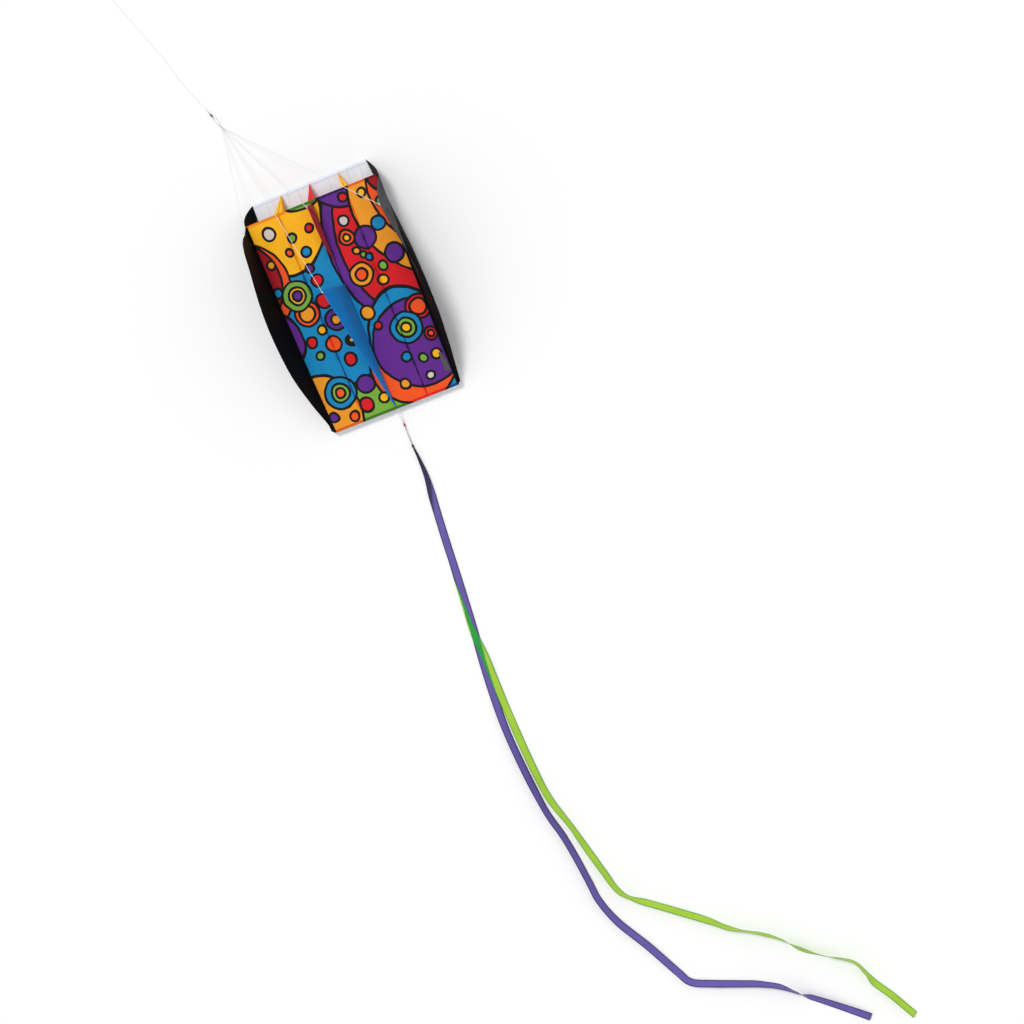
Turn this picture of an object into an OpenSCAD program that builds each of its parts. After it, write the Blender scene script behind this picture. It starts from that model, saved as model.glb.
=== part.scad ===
// Parafoil kite lying on its back: four open cells, two side flares, two keels, a four-leg
// bridle with a snap swivel and flying line, and two ribbon tails on a second swivel.
// +X runs across the span, +Y runs to the leading edge, +Z is up, and the floor is at Z = 0.

/* [Canopy] */
// Chord of the back panel, from its leading edge to the trailing edge
back_chord = 588; // [560:4:620]
// How far the belly panel's leading edge sits behind the back panel's
intake_rake = 48; // [36:2:60]
// Width across the trailing edge
tail_width = 330; // [310:5:350]
// Width of the back panel across its leading edge
back_nose_width = 300; // [290:5:320]
// Width of the belly panel across its leading edge
belly_nose_width = 350; // [336:2:360]
// Height of the intake, from the floor to the belly panel
intake_height = 72; // [60:1:80]
// How far the belly panel billows up between its ribs
belly_billow = 8; // [4:1:12]
// How far the side walls bulge outwards
wall_bulge = 16; // [8:1:20]
// Thickness of every cloth panel
cloth_t = 0.6; // [0.4:0.1:0.8]

/* [Flares and keels] */
// Tallest point of each side flare above the belly panel
flare_height = 109; // [90:1:120]
// Height of the front keel above the belly panel
front_keel_height = 60; // [45:1:70]
// Height of the rear keel at its front tip
rear_keel_height = 106; // [80:1:115]
// Lean of the rear keel to the left, in degrees
rear_keel_lean = 22; // [10:1:26]

/* [Cords] */
// Diameter of the bridle legs, loops and flying line
cord_d = 1.2; // [1:0.1:1.4]
// Diameter of the tail leader
leader_d = 0.8; // [0.6:0.1:0.9]

/* [Swivels] */
// Outside diameter of both swivel barrels
barrel_d = 4.2; // [4:0.1:4.6]
// Length of both swivel barrels
barrel_len = 8; // [7.6:0.2:8.4]
// Diameter of the swivel and snap wire
wire_d = 0.9; // [0.8:0.05:0.9]
// Length of the snap between its two round ends
snap_len = 23.1; // [22:0.1:24]
// Width of the snap between its wire centres
snap_width = 6.8; // [6.4:0.1:7.2]

/* [Tails] */
// Width of both tail ribbons
ribbon_w = 19; // [16:1:22]
// Thickness of both tail ribbons
ribbon_t = 0.4; // [0.3:0.1:0.5]

/* [Hidden] */
$fn = 32;

// Canopy stations: 0 is the trailing edge and 1 the leading edge
nose_y = 290;
tail_y = nose_y - back_chord;
belly_chord = back_chord - intake_rake;
flat_front_y = 190;
flat_rear_y = -110;
nose_rise = 12;
tail_rise = 20;
edge_sag = 0.35;
back_bow = 8;
belly_side_drop = 5;
belly_flatten = 0.35;
rib_share = 0.5;
rib_rear = 0.03;
wall_rear = 0.01;
bulge_lead = 0.08;
chord_steps = 18;
span_steps = 16;
side_rows = 5;
seam_gap = 0.02;
end_inset = 0.004;
tag_lift = 0.3;

// Where a flare or keel meets its line, as a station and a share of its height
left_tip = 0.95;
right_tip = 0.85;
front_keel_tip = 0.965;
front_keel_rear = 0.71;
rear_keel_front = 0.6;
flare_shear_left = 26;
flare_shear_right = 1;
flare_turn_left = 0;
flare_turn_right = 16;

// Bridle, tow and tail places
tow_at = [-155, 502, 3.2];
tow_turn = 110;
knot_r = 3;
tow_loop_r = 2.4;
tow_loop_back = 1.1;
leg_bury = 0.6;
leg_level = 0.9;
leg_steps = 9;
tip_loop_r = 3;
eye_r = 1.9;
shank_r = 0.5;
head_r = 1;
bore_r = 0.56;
cavity_r = 1.2;
barrel_wall = 1;
tie_r = 2.1;
tie_wire_r = 0.4;
end_loop_r = 9;
end_knot_r = 1.8;
tail_eye_at = [0, -333, 4.4];
tail_knot_at = [0, -395, 3.3];
tail_bend_r = 2;

// Route of the flying line along the floor, from its tie to its end knot
line_route = [
    [-170, 544, 3.2], [-172, 550, 2.6], [-175, 557, 1.8], [-179, 566, 1.1],
    [-184, 578, 0.8], [-191, 594, 0.8], [-198, 611, 0.8], [-204, 628, 0.8],
    [-209, 646, 0.8], [-214, 664, 0.8], [-219, 682, 0.8], [-224, 700, 0.8],
    [-230, 717, 0.8], [-236, 734, 0.8], [-243, 753, 0.8], [-250, 773, 0.8],
    [-257, 792, 0.8], [-264, 811, 0.8], [-271, 830, 0.8], [-278, 849, 0.8],
    [-285, 869, 0.8], [-292, 889, 0.8], [-299, 909, 0.8]
];
// Route of the loop of cord that is sewn into the trailing edge
tail_loop_side = [
    [2.6, -298.6, 20.4], [2.6, -305, 16.5], [2.4, -313, 11.4],
    [2.1, -321, 6.8], [2, -327, 4.7], [2, -330.3, 4.4]
];
// Routes of the two ribbons along the floor
purple_route = [
    [1, -399], [5, -430], [5, -480], [1, -541], [-6, -632], [-13, -740],
    [-22, -860], [-31, -960], [-37, -1060], [-37, -1150], [-31, -1250], [-19, -1349],
    [-2, -1418], [9, -1485], [16, -1551], [24, -1600], [50, -1666], [97, -1747],
    [142, -1833], [160, -1863], [201, -1882], [270, -1908], [314, -1927], [358, -1949],
    [397, -1983], [457, -2031], [535, -2098]
];
green_route = [
    [-1, -399], [3, -430], [3, -480], [-1, -541], [-9, -632], [-18, -700],
    [-27, -760], [-30, -812], [-27, -870], [-22, -940], [-20, -1003], [-18, -1067],
    [-15, -1162], [-8, -1259], [1, -1325], [23, -1397], [40, -1466], [59, -1536],
    [76, -1588], [97, -1618], [136, -1647], [197, -1693], [256, -1741], [295, -1775],
    [359, -1813], [400, -1842], [437, -1882], [477, -1912], [540, -1951], [560, -1985],
    [572, -2018], [597, -2061], [635, -2125]
];

function mix(a, b, t) = a + (b - a) * t;
function unit(v) = v / norm(v);
function above(v) = max(0, v);

// Smooth curve through the points of a route
function curve_at(a, b, c, d, t) =
    0.5 * (2 * b + (c - a) * t + (2 * a - 5 * b + 4 * c - d) * t * t
        + (3 * b - a - 3 * c + d) * t * t * t);
function smooth(route, steps) = let (last = len(route) - 1) concat(
    [for (i = [0:last - 1], s = [0:steps - 1])
        curve_at(route[max(0, i - 1)], route[i], route[i + 1],
            route[min(last, i + 2)], s / steps)],
    [route[last]]
);
function way(route, i) =
    unit(route[min(len(route) - 1, i + 1)] - route[max(0, i - 1)]);

// Value at station k on a smooth curve through a list of [station, value] pairs
function profile(list, k) =
    let (last = len(list) - 1, i = max([for (n = [0:last - 1]) k >= list[n][0] ? n : 0]))
    curve_at(list[max(0, i - 1)][1], list[i][1], list[i + 1][1], list[min(last, i + 2)][1],
        (k - list[i][0]) / (list[i + 1][0] - list[i][0]));

// Lower face of the back panel at station k and share u of the half span
function cell(u) = abs(sin(360 * u));
function back_rise(y) =
    nose_rise * pow(above(y - flat_front_y) / (nose_y - flat_front_y), 2)
    + tail_rise * pow(above(flat_rear_y - y) / (flat_rear_y - tail_y), 2);
function back_half(k) =
    mix(tail_width, back_nose_width, k) / 2 + back_bow * sin(180 * k);
function back_at(k, u) = let (y = tail_y + k * back_chord)
    [u * back_half(k), y, back_rise(y) * (1 - edge_sag * k * cell(u))];

// Lower face of the belly panel at station k and share u of the half span
function belly_half(k) = mix(tail_width, belly_nose_width, k) / 2;
function billow(k) = belly_billow * sin(90 * min(1, 2 * k)) * (1 - belly_flatten * k * k);
function belly_rib_z(k) =
    mix(tail_rise + cloth_t + seam_gap, intake_height, sin(90 * k));
function belly_at(k, u) = [
    u * belly_half(k),
    tail_y + k * belly_chord,
    belly_rib_z(k) + billow(k) * cell(u) - belly_side_drop * u * u * k
];
function seam_at(k, u) = belly_at(k, u) + [0, 0, cloth_t];

// Closed cloth solid: a grid of points and the same grid moved by shift
module cloth(grid, shift) {
    rows = len(grid);
    cols = len(grid[0]);
    n = rows * cols;
    r0 = floor((rows - 1) / 2);
    c0 = floor((cols - 1) / 2);
    across = grid[r0][c0 + 1] - grid[r0][c0];
    along = grid[r0 + 1][c0] - grid[r0][c0];
    turned = cross(across, along) * shift < 0;
    function at(r, c) = r * cols + c;
    function way_round(f) = turned ? [for (i = [len(f) - 1:-1:0]) f[i]] : f;
    skin = [for (r = [0:rows - 2], c = [0:cols - 2])
        [at(r, c), at(r, c + 1), at(r + 1, c + 1), at(r + 1, c)]];
    rim = concat(
        [for (c = [0:cols - 2]) [at(0, c + 1), at(0, c), n + at(0, c), n + at(0, c + 1)]],
        [for (c = [0:cols - 2]) let (r = rows - 1)
            [at(r, c), at(r, c + 1), n + at(r, c + 1), n + at(r, c)]],
        [for (r = [0:rows - 2]) [at(r, 0), at(r + 1, 0), n + at(r + 1, 0), n + at(r, 0)]],
        [for (r = [0:rows - 2]) let (c = cols - 1)
            [at(r + 1, c), at(r, c), n + at(r, c), n + at(r + 1, c)]]
    );
    faces = concat(
        [for (q = skin) [q[0], q[1], q[2]]],
        [for (q = skin) [q[0], q[2], q[3]]],
        [for (q = skin) [n + q[2], n + q[1], n + q[0]]],
        [for (q = skin) [n + q[3], n + q[2], n + q[0]]],
        rim
    );
    polyhedron(
        points = concat([for (row = grid, p = row) p], [for (row = grid, p = row) p + shift]),
        faces = [for (f = faces) way_round(f)],
        convexity = 4
    );
}

// Round cord swept along a route, with flat ends
module cord(route, r, sides = 8) {
    rings = [for (i = [0:len(route) - 1])
        let (t = way(route, i), a = unit(cross(t, [0, 0, 1])), b = cross(a, t))
        [for (j = [0:sides - 1])
            route[i] + r * (cos(360 * j / sides) * a + sin(360 * j / sides) * b)]];
    function at(i, j) = i * sides + j % sides;
    last = len(route) - 1;
    faces = concat(
        [[for (j = [sides - 1:-1:0]) at(0, j)]],
        [[for (j = [0:sides - 1]) at(last, j)]],
        [for (i = [0:last - 1], j = [0:sides - 1]) [at(i, j), at(i, j + 1), at(i + 1, j + 1)]],
        [for (i = [0:last - 1], j = [0:sides - 1]) [at(i, j), at(i + 1, j + 1), at(i + 1, j)]]
    );
    polyhedron(points = [for (ring = rings, p = ring) p], faces = faces, convexity = 4);
}

module ring(centre_r, wire_r) {
    rotate_extrude() translate([centre_r, 0]) circle(wire_r);
}

module rod(from_x, to_x, r) {
    translate([from_x, 0, 0]) rotate([0, 90, 0]) cylinder(r = r, h = to_x - from_x);
}

/* Cloth */

function stations(first, last) = [for (i = [0:chord_steps]) mix(first, last, i / chord_steps)];
function spans() = [for (j = [-span_steps:span_steps]) j / span_steps];

module back_panel() {
    color("lavender")
        cloth([for (k = stations(0, 1)) [for (u = spans()) back_at(k, u)]], [0, 0, cloth_t]);
}

module belly_panel() {
    color("gold")
        cloth([for (k = stations(0, 1)) [for (u = spans()) belly_at(k, u)]], [0, 0, cloth_t]);
}

// Cell rib between the back panel and the belly panel, at share u of the half span
module rib(u) {
    cloth(
        [for (k = stations(rib_rear, 1)) [for (v = [0, 1])
            mix(back_at(k, u) + [0, 0, cloth_t + seam_gap], belly_at(k, u) - [0, 0, seam_gap], v)
                - [cloth_t / 2, 0, 0]]],
        [cloth_t, 0, 0]
    );
}

module rib_left() { color("gold") rib(-rib_share); }
module rib_centre() { color("crimson") rib(0); }
module rib_right() { color("gold") rib(rib_share); }

// Black end wall from the back panel's edge to the belly panel's edge
module side_wall(side) {
    cloth(
        [for (k = stations(wall_rear, 1)) [for (j = [0:side_rows])
            mix(back_at(k, side), seam_at(k, side), j / side_rows)
                + [side * (seam_gap + wall_bulge * sin(180 * min(1, k + bulge_lead))
                    * sin(180 * j / side_rows)), 0, 0]]],
        [side * cloth_t, 0, 0]
    );
}

module side_wall_left() { color("dimgray") side_wall(-1); }
module side_wall_right() { color("dimgray") side_wall(1); }

// Side flare: its height and its outward lean change along the side seam. The shear draws its
// free edge forwards, and the turn brings its front inwards.
flare_shape = [
    [0, 0.015], [0.15, 0.38], [0.3, 0.69], [0.45, 0.88],
    [0.6, 0.98], [0.75, 0.98], [0.88, 0.78], [1, 0.015]
];
flare_lean = [
    [0, 20], [0.15, 21], [0.3, 20], [0.45, 16], [0.6, 11], [0.75, 6], [0.88, 3], [1, 2]
];
function flare_at(k, v, side, shear, turn) =
    let (h = flare_height * profile(flare_shape, k), lean = profile(flare_lean, k) - turn * pow(k, 4))
    seam_at(k, side) + v * h * [side * sin(lean), 0, cos(lean)]
        + [side * seam_gap, shear * v * h / flare_height * k, seam_gap];
function left_flare_at(k, v) = flare_at(k, v, -1, flare_shear_left, flare_turn_left);
function right_flare_at(k, v) = flare_at(k, v, 1, flare_shear_right, flare_turn_right);

module flare_left() {
    color("black")
        cloth([for (k = stations(end_inset, 1 - end_inset))
            [for (j = [0:side_rows]) left_flare_at(k, j / side_rows)]], [-cloth_t, 0, 0]);
}

module flare_right() {
    color("black")
        cloth([for (k = stations(end_inset, 1 - end_inset))
            [for (j = [0:side_rows]) right_flare_at(k, j / side_rows)]], [cloth_t, 0, 0]);
}

// Keels stand on the centre seam and lean a little to the left
front_keel_shape = [
    [front_keel_rear, 0.03], [0.76, 0.52], [0.82, 0.82], [0.9, 0.95], [front_keel_tip, 1], [1, 0.9]
];
front_keel_lean = 4;
rear_keel_least = 0.02;
keel_rows = 3;
function front_keel_at(k, v) =
    seam_at(k, 0) + v * front_keel_height * profile(front_keel_shape, k)
        * [-sin(front_keel_lean), 0, cos(front_keel_lean)] + [0, 0, seam_gap];
function rear_keel_at(k, v) =
    let (h = rear_keel_height * max(rear_keel_least, k / rear_keel_front))
    seam_at(k, 0) + v * h * [-sin(rear_keel_lean), 0, cos(rear_keel_lean)] + [0, 0, seam_gap];

module keel(grid) {
    cloth([for (row = grid) [for (p = row) p - [cloth_t / 2, 0, 0]]], [cloth_t, 0, 0]);
}

module front_keel() {
    color("firebrick")
        keel([for (k = stations(front_keel_rear, 1 - end_inset))
            [for (j = [0:keel_rows]) front_keel_at(k, j / keel_rows)]]);
}

module rear_keel() {
    color("steelblue")
        keel([for (k = stations(end_inset, rear_keel_front))
            [for (j = [0:keel_rows]) rear_keel_at(k, j / keel_rows)]]);
}

// Blank cloth tag on the belly panel, by the right side seam
module label_tag() {
    color("gray")
        cloth(
            [for (k = [0.075, 0.105, 0.135, 0.165]) [for (u = [0.88, 0.92, 0.96])
                seam_at(k, u) + [0, 0, tag_lift]]],
            [0, 0, cloth_t / 2]
        );
}

/* Bridle */

tip_left = left_flare_at(left_tip, 1);
tip_right = right_flare_at(right_tip, 1);
tip_front = front_keel_at(front_keel_tip, 1);
tip_rear = rear_keel_at(rear_keel_front - 0.01, 1);
bridle_knot_at = tow_at
    - (knot_r + tow_loop_r + cord_d / 2 + tow_loop_back) * [cos(tow_turn), sin(tow_turn), 0];

// Small cord loop sewn into the tip of a flare or keel, standing on that tip
module tip_loop(at) {
    color("whitesmoke")
        translate(at + [0, 0, tip_loop_r + cord_d / 2]) rotate([0, 90, 0]) ring(tip_loop_r, cord_d / 2);
}

module loop_flare_left() { tip_loop(tip_left); }
module loop_flare_right() { tip_loop(tip_right); }
module loop_front_keel() { tip_loop(tip_front); }
module loop_rear_keel() { tip_loop(tip_rear); }

// Bridle leg from the knot up to a tip loop, with a slight sag
module leg(at, level, sag) {
    top = at + [0, 0, 2 * tip_loop_r + cord_d / 2];
    start = bridle_knot_at + (knot_r - leg_bury) * unit(top - bridle_knot_at) + [0, 0, level];
    color("whitesmoke")
        cord([for (i = [0:leg_steps])
            mix(start, top, i / leg_steps) - [0, 0, sag * sin(180 * i / leg_steps)]], cord_d / 2);
}

module leg_flare_left() { leg(tip_left, leg_level, 9); }
module leg_flare_right() { leg(tip_right, leg_level, 2); }
module leg_front_keel() { leg(tip_front, -leg_level, 5); }
module leg_rear_keel() { leg(tip_rear, leg_level, 3); }

module bridle_knot() { color("whitesmoke") translate(bridle_knot_at) sphere(knot_r); }

// Everything at the tow point is drawn along X and then turned to the line's direction
module at_tow() { translate(tow_at) rotate([0, 0, tow_turn]) children(); }

module tow_loop() {
    color("whitesmoke")
        at_tow() translate([-tow_loop_back, 0, 0]) rotate([90, 0, 0]) ring(tow_loop_r, cord_d / 2);
}

/* Snap and swivel */

wire_r = wire_d / 2;
snap_r = snap_width / 2;
snap_tail_x = snap_len - snap_r;
gate_pivot_x = 17.3;
gate_tip_x = 5.6;
gate_eye_r = 0.85;
pin_r = 0.35;

module half_ring(centre_r) {
    rotate([0, 0, 90]) rotate_extrude(angle = 180) translate([centre_r, 0]) circle(wire_r);
}

module snap_hook() {
    color("silver") at_tow() {
        translate([snap_r, 0, 0]) half_ring(snap_r);
        translate([snap_tail_x, 0, 0]) rotate([0, 0, 180]) half_ring(snap_r);
        translate([0, snap_r, 0]) rod(snap_r, snap_tail_x, wire_r);
        translate([0, -snap_r, 0]) {
            rod(snap_r, gate_tip_x - 0.4, wire_r);
            rod(gate_pivot_x + gate_eye_r + 0.5, snap_tail_x, wire_r);
            for (end = [-1, 1])
                translate([gate_pivot_x, 0, end * 0.85 - 0.2]) {
                    cylinder(r = gate_eye_r, h = 0.4);
                    translate([0, -0.4, 0]) cube([gate_eye_r + 0.9, 0.8, 0.4]);
                }
            translate([gate_pivot_x + gate_eye_r + 0.15, -0.4, -1.05]) cube([0.75, 0.8, 2.1]);
            translate([gate_pivot_x, 0, -1]) cylinder(r = pin_r, h = 2);
        }
    }
}

module snap_gate() {
    color("silver") at_tow() translate([0, -snap_r, 0]) difference() {
        union() {
            rod(gate_tip_x, gate_pivot_x - 0.5, wire_r);
            translate([gate_pivot_x, 0, -0.55]) cylinder(r = gate_eye_r, h = 1.1);
        }
        translate([gate_pivot_x, 0, -1]) cylinder(r = pin_r + 0.06, h = 2);
    }
}

// Swivel eye, with its shank and head running inside the barrel on the +X side
module eye() {
    rotate([90, 0, 0]) ring(eye_r, wire_r);
    rod(eye_r, eye_r + wire_r + 2.8, shank_r);
    rod(eye_r + wire_r + 2, eye_r + wire_r + 2.8, head_r);
}

// Hollow swivel barrel along X with a rounded waist
module barrel() {
    r = barrel_d / 2;
    rotate([0, 90, 0]) rotate_extrude() difference() {
        polygon([
            [0, 0], [r * 0.7, 0], [r * 0.9, 0.4], [r, 1.2], [r, 2.6], [r * 0.86, 3.2],
            [r * 0.86, barrel_len - 3.2], [r, barrel_len - 2.6], [r, barrel_len - 1.2],
            [r * 0.9, barrel_len - 0.4], [r * 0.7, barrel_len], [0, barrel_len]
        ]);
        translate([0, -1]) square([bore_r, barrel_len + 2]);
        translate([0, barrel_wall]) square([cavity_r, barrel_len - 2 * barrel_wall]);
    }
}

swivel_eye_x = snap_len + 0.9;
barrel_gap = 0.65;
barrel_x = swivel_eye_x + eye_r + wire_r + barrel_gap;
line_eye_x = barrel_x + barrel_len + barrel_gap + wire_r + eye_r;

module swivel_eye_snap() { color("silver") at_tow() translate([swivel_eye_x, 0, 0]) eye(); }
module swivel_barrel() { color("dimgray") at_tow() translate([barrel_x, 0, 0]) barrel(); }
module swivel_eye_line() {
    color("silver") at_tow() translate([line_eye_x, 0, 0]) rotate([0, 0, 180]) eye();
}

/* Flying line */

tie_x = line_eye_x + 3;

module line_tie() {
    color("whitesmoke") at_tow() {
        translate([tie_x, 0, 0]) ring(tie_r, tie_wire_r);
        translate([tie_x + tie_r + 1.2, 0, 0]) sphere(1.4);
    }
}

module flying_line() { color("white") cord(line_route, cord_d / 2); }

line_end = line_route[len(line_route) - 1];
line_way = unit(line_end - line_route[len(line_route) - 2]);

module line_end_knot() {
    color("whitesmoke")
        translate([line_end[0], line_end[1], end_knot_r + 0.2] + end_knot_r * line_way) sphere(end_knot_r);
}

module line_end_loop() {
    color("whitesmoke")
        translate(line_end + (2 * end_knot_r + end_loop_r) * line_way) ring(end_loop_r, cord_d / 2);
}

/* Tail */

module tail_loop() {
    bend = [for (a = [30:30:150]) [tail_bend_r * cos(a), -330.3 - tail_bend_r * sin(a), 4.4]];
    other = [for (i = [len(tail_loop_side) - 1:-1:0])
        let (p = tail_loop_side[i]) [-p[0], p[1], p[2]]];
    color("whitesmoke") cord(concat(tail_loop_side, bend, other), cord_d / 2);
}

// The tail swivel is drawn along X and then turned to run behind the trailing edge
module at_tail() { translate(tail_eye_at) rotate([0, 0, -90]) children(); }

tail_rear_eye_x = 2 * (eye_r + wire_r + barrel_gap) + barrel_len;

module tail_eye_front() { color("pink") at_tail() eye(); }
module tail_barrel() {
    color("crimson") at_tail() translate([eye_r + wire_r + barrel_gap, 0, 0]) barrel();
}
module tail_eye_rear() {
    color("pink") at_tail() translate([tail_rear_eye_x, 0, 0]) rotate([0, 0, 180]) eye();
}

leader_bend_r = 1.3;
leader_bend_y = tail_eye_at[1] - tail_rear_eye_x + leader_bend_r - 0.9;

module tail_leader() {
    side = [
        [0.8, tail_knot_at[1] + 2, 3.3], [1, tail_knot_at[1] + 12, 3.4],
        [1.2, tail_knot_at[1] + 24, 3.9], [leader_bend_r, leader_bend_y - 8, 4.3],
        [leader_bend_r, leader_bend_y - 2, 4.4]
    ];
    bend = [for (a = [0:30:180])
        [leader_bend_r * cos(a), leader_bend_y - leader_bend_r + leader_bend_r * sin(a), 4.4]];
    other = [for (i = [len(side) - 1:-1:0]) let (p = side[i]) [-p[0], p[1], p[2]]];
    color("gray") cord(concat(side, bend, other), leader_d / 2);
}

module tail_knot() { color("rebeccapurple") translate(tail_knot_at) sphere(3); }

// Flat ribbon along a route on the floor, gathered at the knot and full width further on
module ribbon(route, height) {
    path = smooth(route, 2);
    cloth(
        [for (i = [0:len(path) - 1])
            let (t = way(path, i), w = mix(5, ribbon_w, min(1, i / 4)) / 2)
            [for (side = [-1, 1])
                [path[i][0] + side * w * t[1], path[i][1] - side * w * t[0], height]]],
        [0, 0, ribbon_t]
    );
}

module ribbon_purple() { color("slateblue") ribbon(purple_route, 1.2); }
module ribbon_green() { color("yellowgreen") ribbon(green_route, 0.2); }

back_panel();
belly_panel();
side_wall_left();
side_wall_right();
rib_left();
rib_centre();
rib_right();
flare_left();
flare_right();
front_keel();
rear_keel();
label_tag();
loop_flare_left();
loop_flare_right();
loop_front_keel();
loop_rear_keel();
leg_flare_left();
leg_flare_right();
leg_front_keel();
leg_rear_keel();
bridle_knot();
tow_loop();
snap_hook();
snap_gate();
swivel_eye_snap();
swivel_barrel();
swivel_eye_line();
line_tie();
flying_line();
line_end_knot();
line_end_loop();
tail_loop();
tail_eye_front();
tail_barrel();
tail_eye_rear();
tail_leader();
tail_knot();
ribbon_purple();
ribbon_green();
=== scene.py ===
"""Looks of the parafoil kite: cloth panels, cords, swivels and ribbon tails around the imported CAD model.

Shapes are worked out in millimetres, in the row frame, and turned to metres when a mesh is made.
"""
import math

import bpy
import bmesh
import numpy as np
from mathutils import Matrix, Vector, noise


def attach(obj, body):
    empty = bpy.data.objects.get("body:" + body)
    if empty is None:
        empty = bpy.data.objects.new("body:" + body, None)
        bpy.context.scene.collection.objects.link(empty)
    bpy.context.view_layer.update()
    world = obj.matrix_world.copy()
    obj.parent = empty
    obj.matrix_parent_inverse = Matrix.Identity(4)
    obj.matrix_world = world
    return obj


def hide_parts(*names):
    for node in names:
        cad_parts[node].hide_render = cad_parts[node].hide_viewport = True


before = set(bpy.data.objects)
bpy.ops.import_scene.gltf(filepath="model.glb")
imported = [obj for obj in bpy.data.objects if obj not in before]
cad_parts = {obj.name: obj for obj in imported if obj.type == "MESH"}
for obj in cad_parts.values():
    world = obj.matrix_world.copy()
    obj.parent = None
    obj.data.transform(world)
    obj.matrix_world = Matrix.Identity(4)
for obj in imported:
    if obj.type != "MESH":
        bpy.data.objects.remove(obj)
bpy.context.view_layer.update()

MM = 0.001
CANOPY = "canopy"
RIGHT = Vector((1, 0, 0))
FORWARD = Vector((0, 1, 0))
UP = Vector((0, 0, 1))


def add_object(name, data):
    """New object in the scene."""
    made = bpy.data.objects.new(name, data)
    bpy.context.scene.collection.objects.link(made)
    return made


# Camera

CAMERA_TARGET = Vector((0.168, -0.633, 0.0))
CAMERA_DISTANCE = 6.0
CAMERA_HALF_VIEW = 1.2455
CAMERA_TILT_RIGHT = math.radians(8.5)
CAMERA_TILT_FORWARD = math.radians(2.2)
CAMERA_TURN = math.radians(21.5)
image_up = Vector((math.sin(CAMERA_TURN), math.cos(CAMERA_TURN), 0.0))
image_right = Vector((math.cos(CAMERA_TURN), -math.sin(CAMERA_TURN), 0.0))


def make_camera():
    away = Vector((math.sin(CAMERA_TILT_RIGHT), math.sin(CAMERA_TILT_FORWARD), 0.0))
    away.z = math.sqrt(1 - away.length_squared)
    right = image_up.cross(away).normalized()
    data = bpy.data.cameras.new("camera")
    data.angle = 2 * math.atan(CAMERA_HALF_VIEW / CAMERA_DISTANCE)
    data.clip_end = 100
    camera = add_object("camera", data)
    turn = Matrix((right, away.cross(right), away)).transposed().to_4x4()
    camera.matrix_world = Matrix.Translation(CAMERA_TARGET + CAMERA_DISTANCE * away) @ turn
    bpy.context.scene.camera = camera


make_camera()


# Canopy surfaces, as in the CAD model, in millimetres. Station 0 is the trailing edge, 1 the leading edge.

BACK_CHORD = 588
INTAKE_RAKE = 48
TAIL_WIDTH = 330
BACK_NOSE_WIDTH = 300
BELLY_NOSE_WIDTH = 350
INTAKE_HEIGHT = 72
BELLY_BILLOW = 8
WALL_BULGE = 16
CLOTH_T = 0.6
NOSE_Y = 290
TAIL_Y = NOSE_Y - BACK_CHORD
BELLY_CHORD = BACK_CHORD - INTAKE_RAKE
FLAT_FRONT_Y = 190
FLAT_REAR_Y = -110
NOSE_RISE = 12
TAIL_RISE = 20
EDGE_SAG = 0.35
BACK_BOW = 8
BELLY_SIDE_DROP = 5
BELLY_FLATTEN = 0.35
BULGE_LEAD = 0.08
SEAM_GAP = 0.02
SHEET_T = 0.25

FLARE_HEIGHT = 109
FLARE_SHAPE = [
    (0, 0.015), (0.15, 0.38), (0.3, 0.69), (0.45, 0.88), (0.6, 0.98), (0.75, 0.98), (0.88, 0.78), (1, 0.015),
]
FLARE_LEAN = [(0, 20), (0.15, 21), (0.3, 20), (0.45, 16), (0.6, 11), (0.75, 6), (0.88, 3), (1, 2)]
FLARES = {"left": (-1, 26, 0, 0.95), "right": (1, 1, 16, 0.85)}  # side, shear, turn, station of its tip

FRONT_KEEL_HEIGHT = 60
FRONT_KEEL_REAR = 0.71
FRONT_KEEL_TIP = 0.965
FRONT_KEEL_LEAN = math.radians(4)
FRONT_KEEL_SHAPE = [
    (FRONT_KEEL_REAR, 0.03), (0.76, 0.52), (0.82, 0.82), (0.9, 0.95), (FRONT_KEEL_TIP, 1), (1, 0.9),
]
REAR_KEEL_HEIGHT = 106
REAR_KEEL_FRONT = 0.6
REAR_KEEL_LEAN = math.radians(22)


# Materials: a short way to write shader nodes

def srgb(red, green, blue):
    """Linear colour of an sRGB colour given from 0 to 255."""
    return [((c / 255 + 0.055) / 1.055) ** 2.4 if c > 10 else c / 3295 for c in (red, green, blue)] + [1.0]


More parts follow.
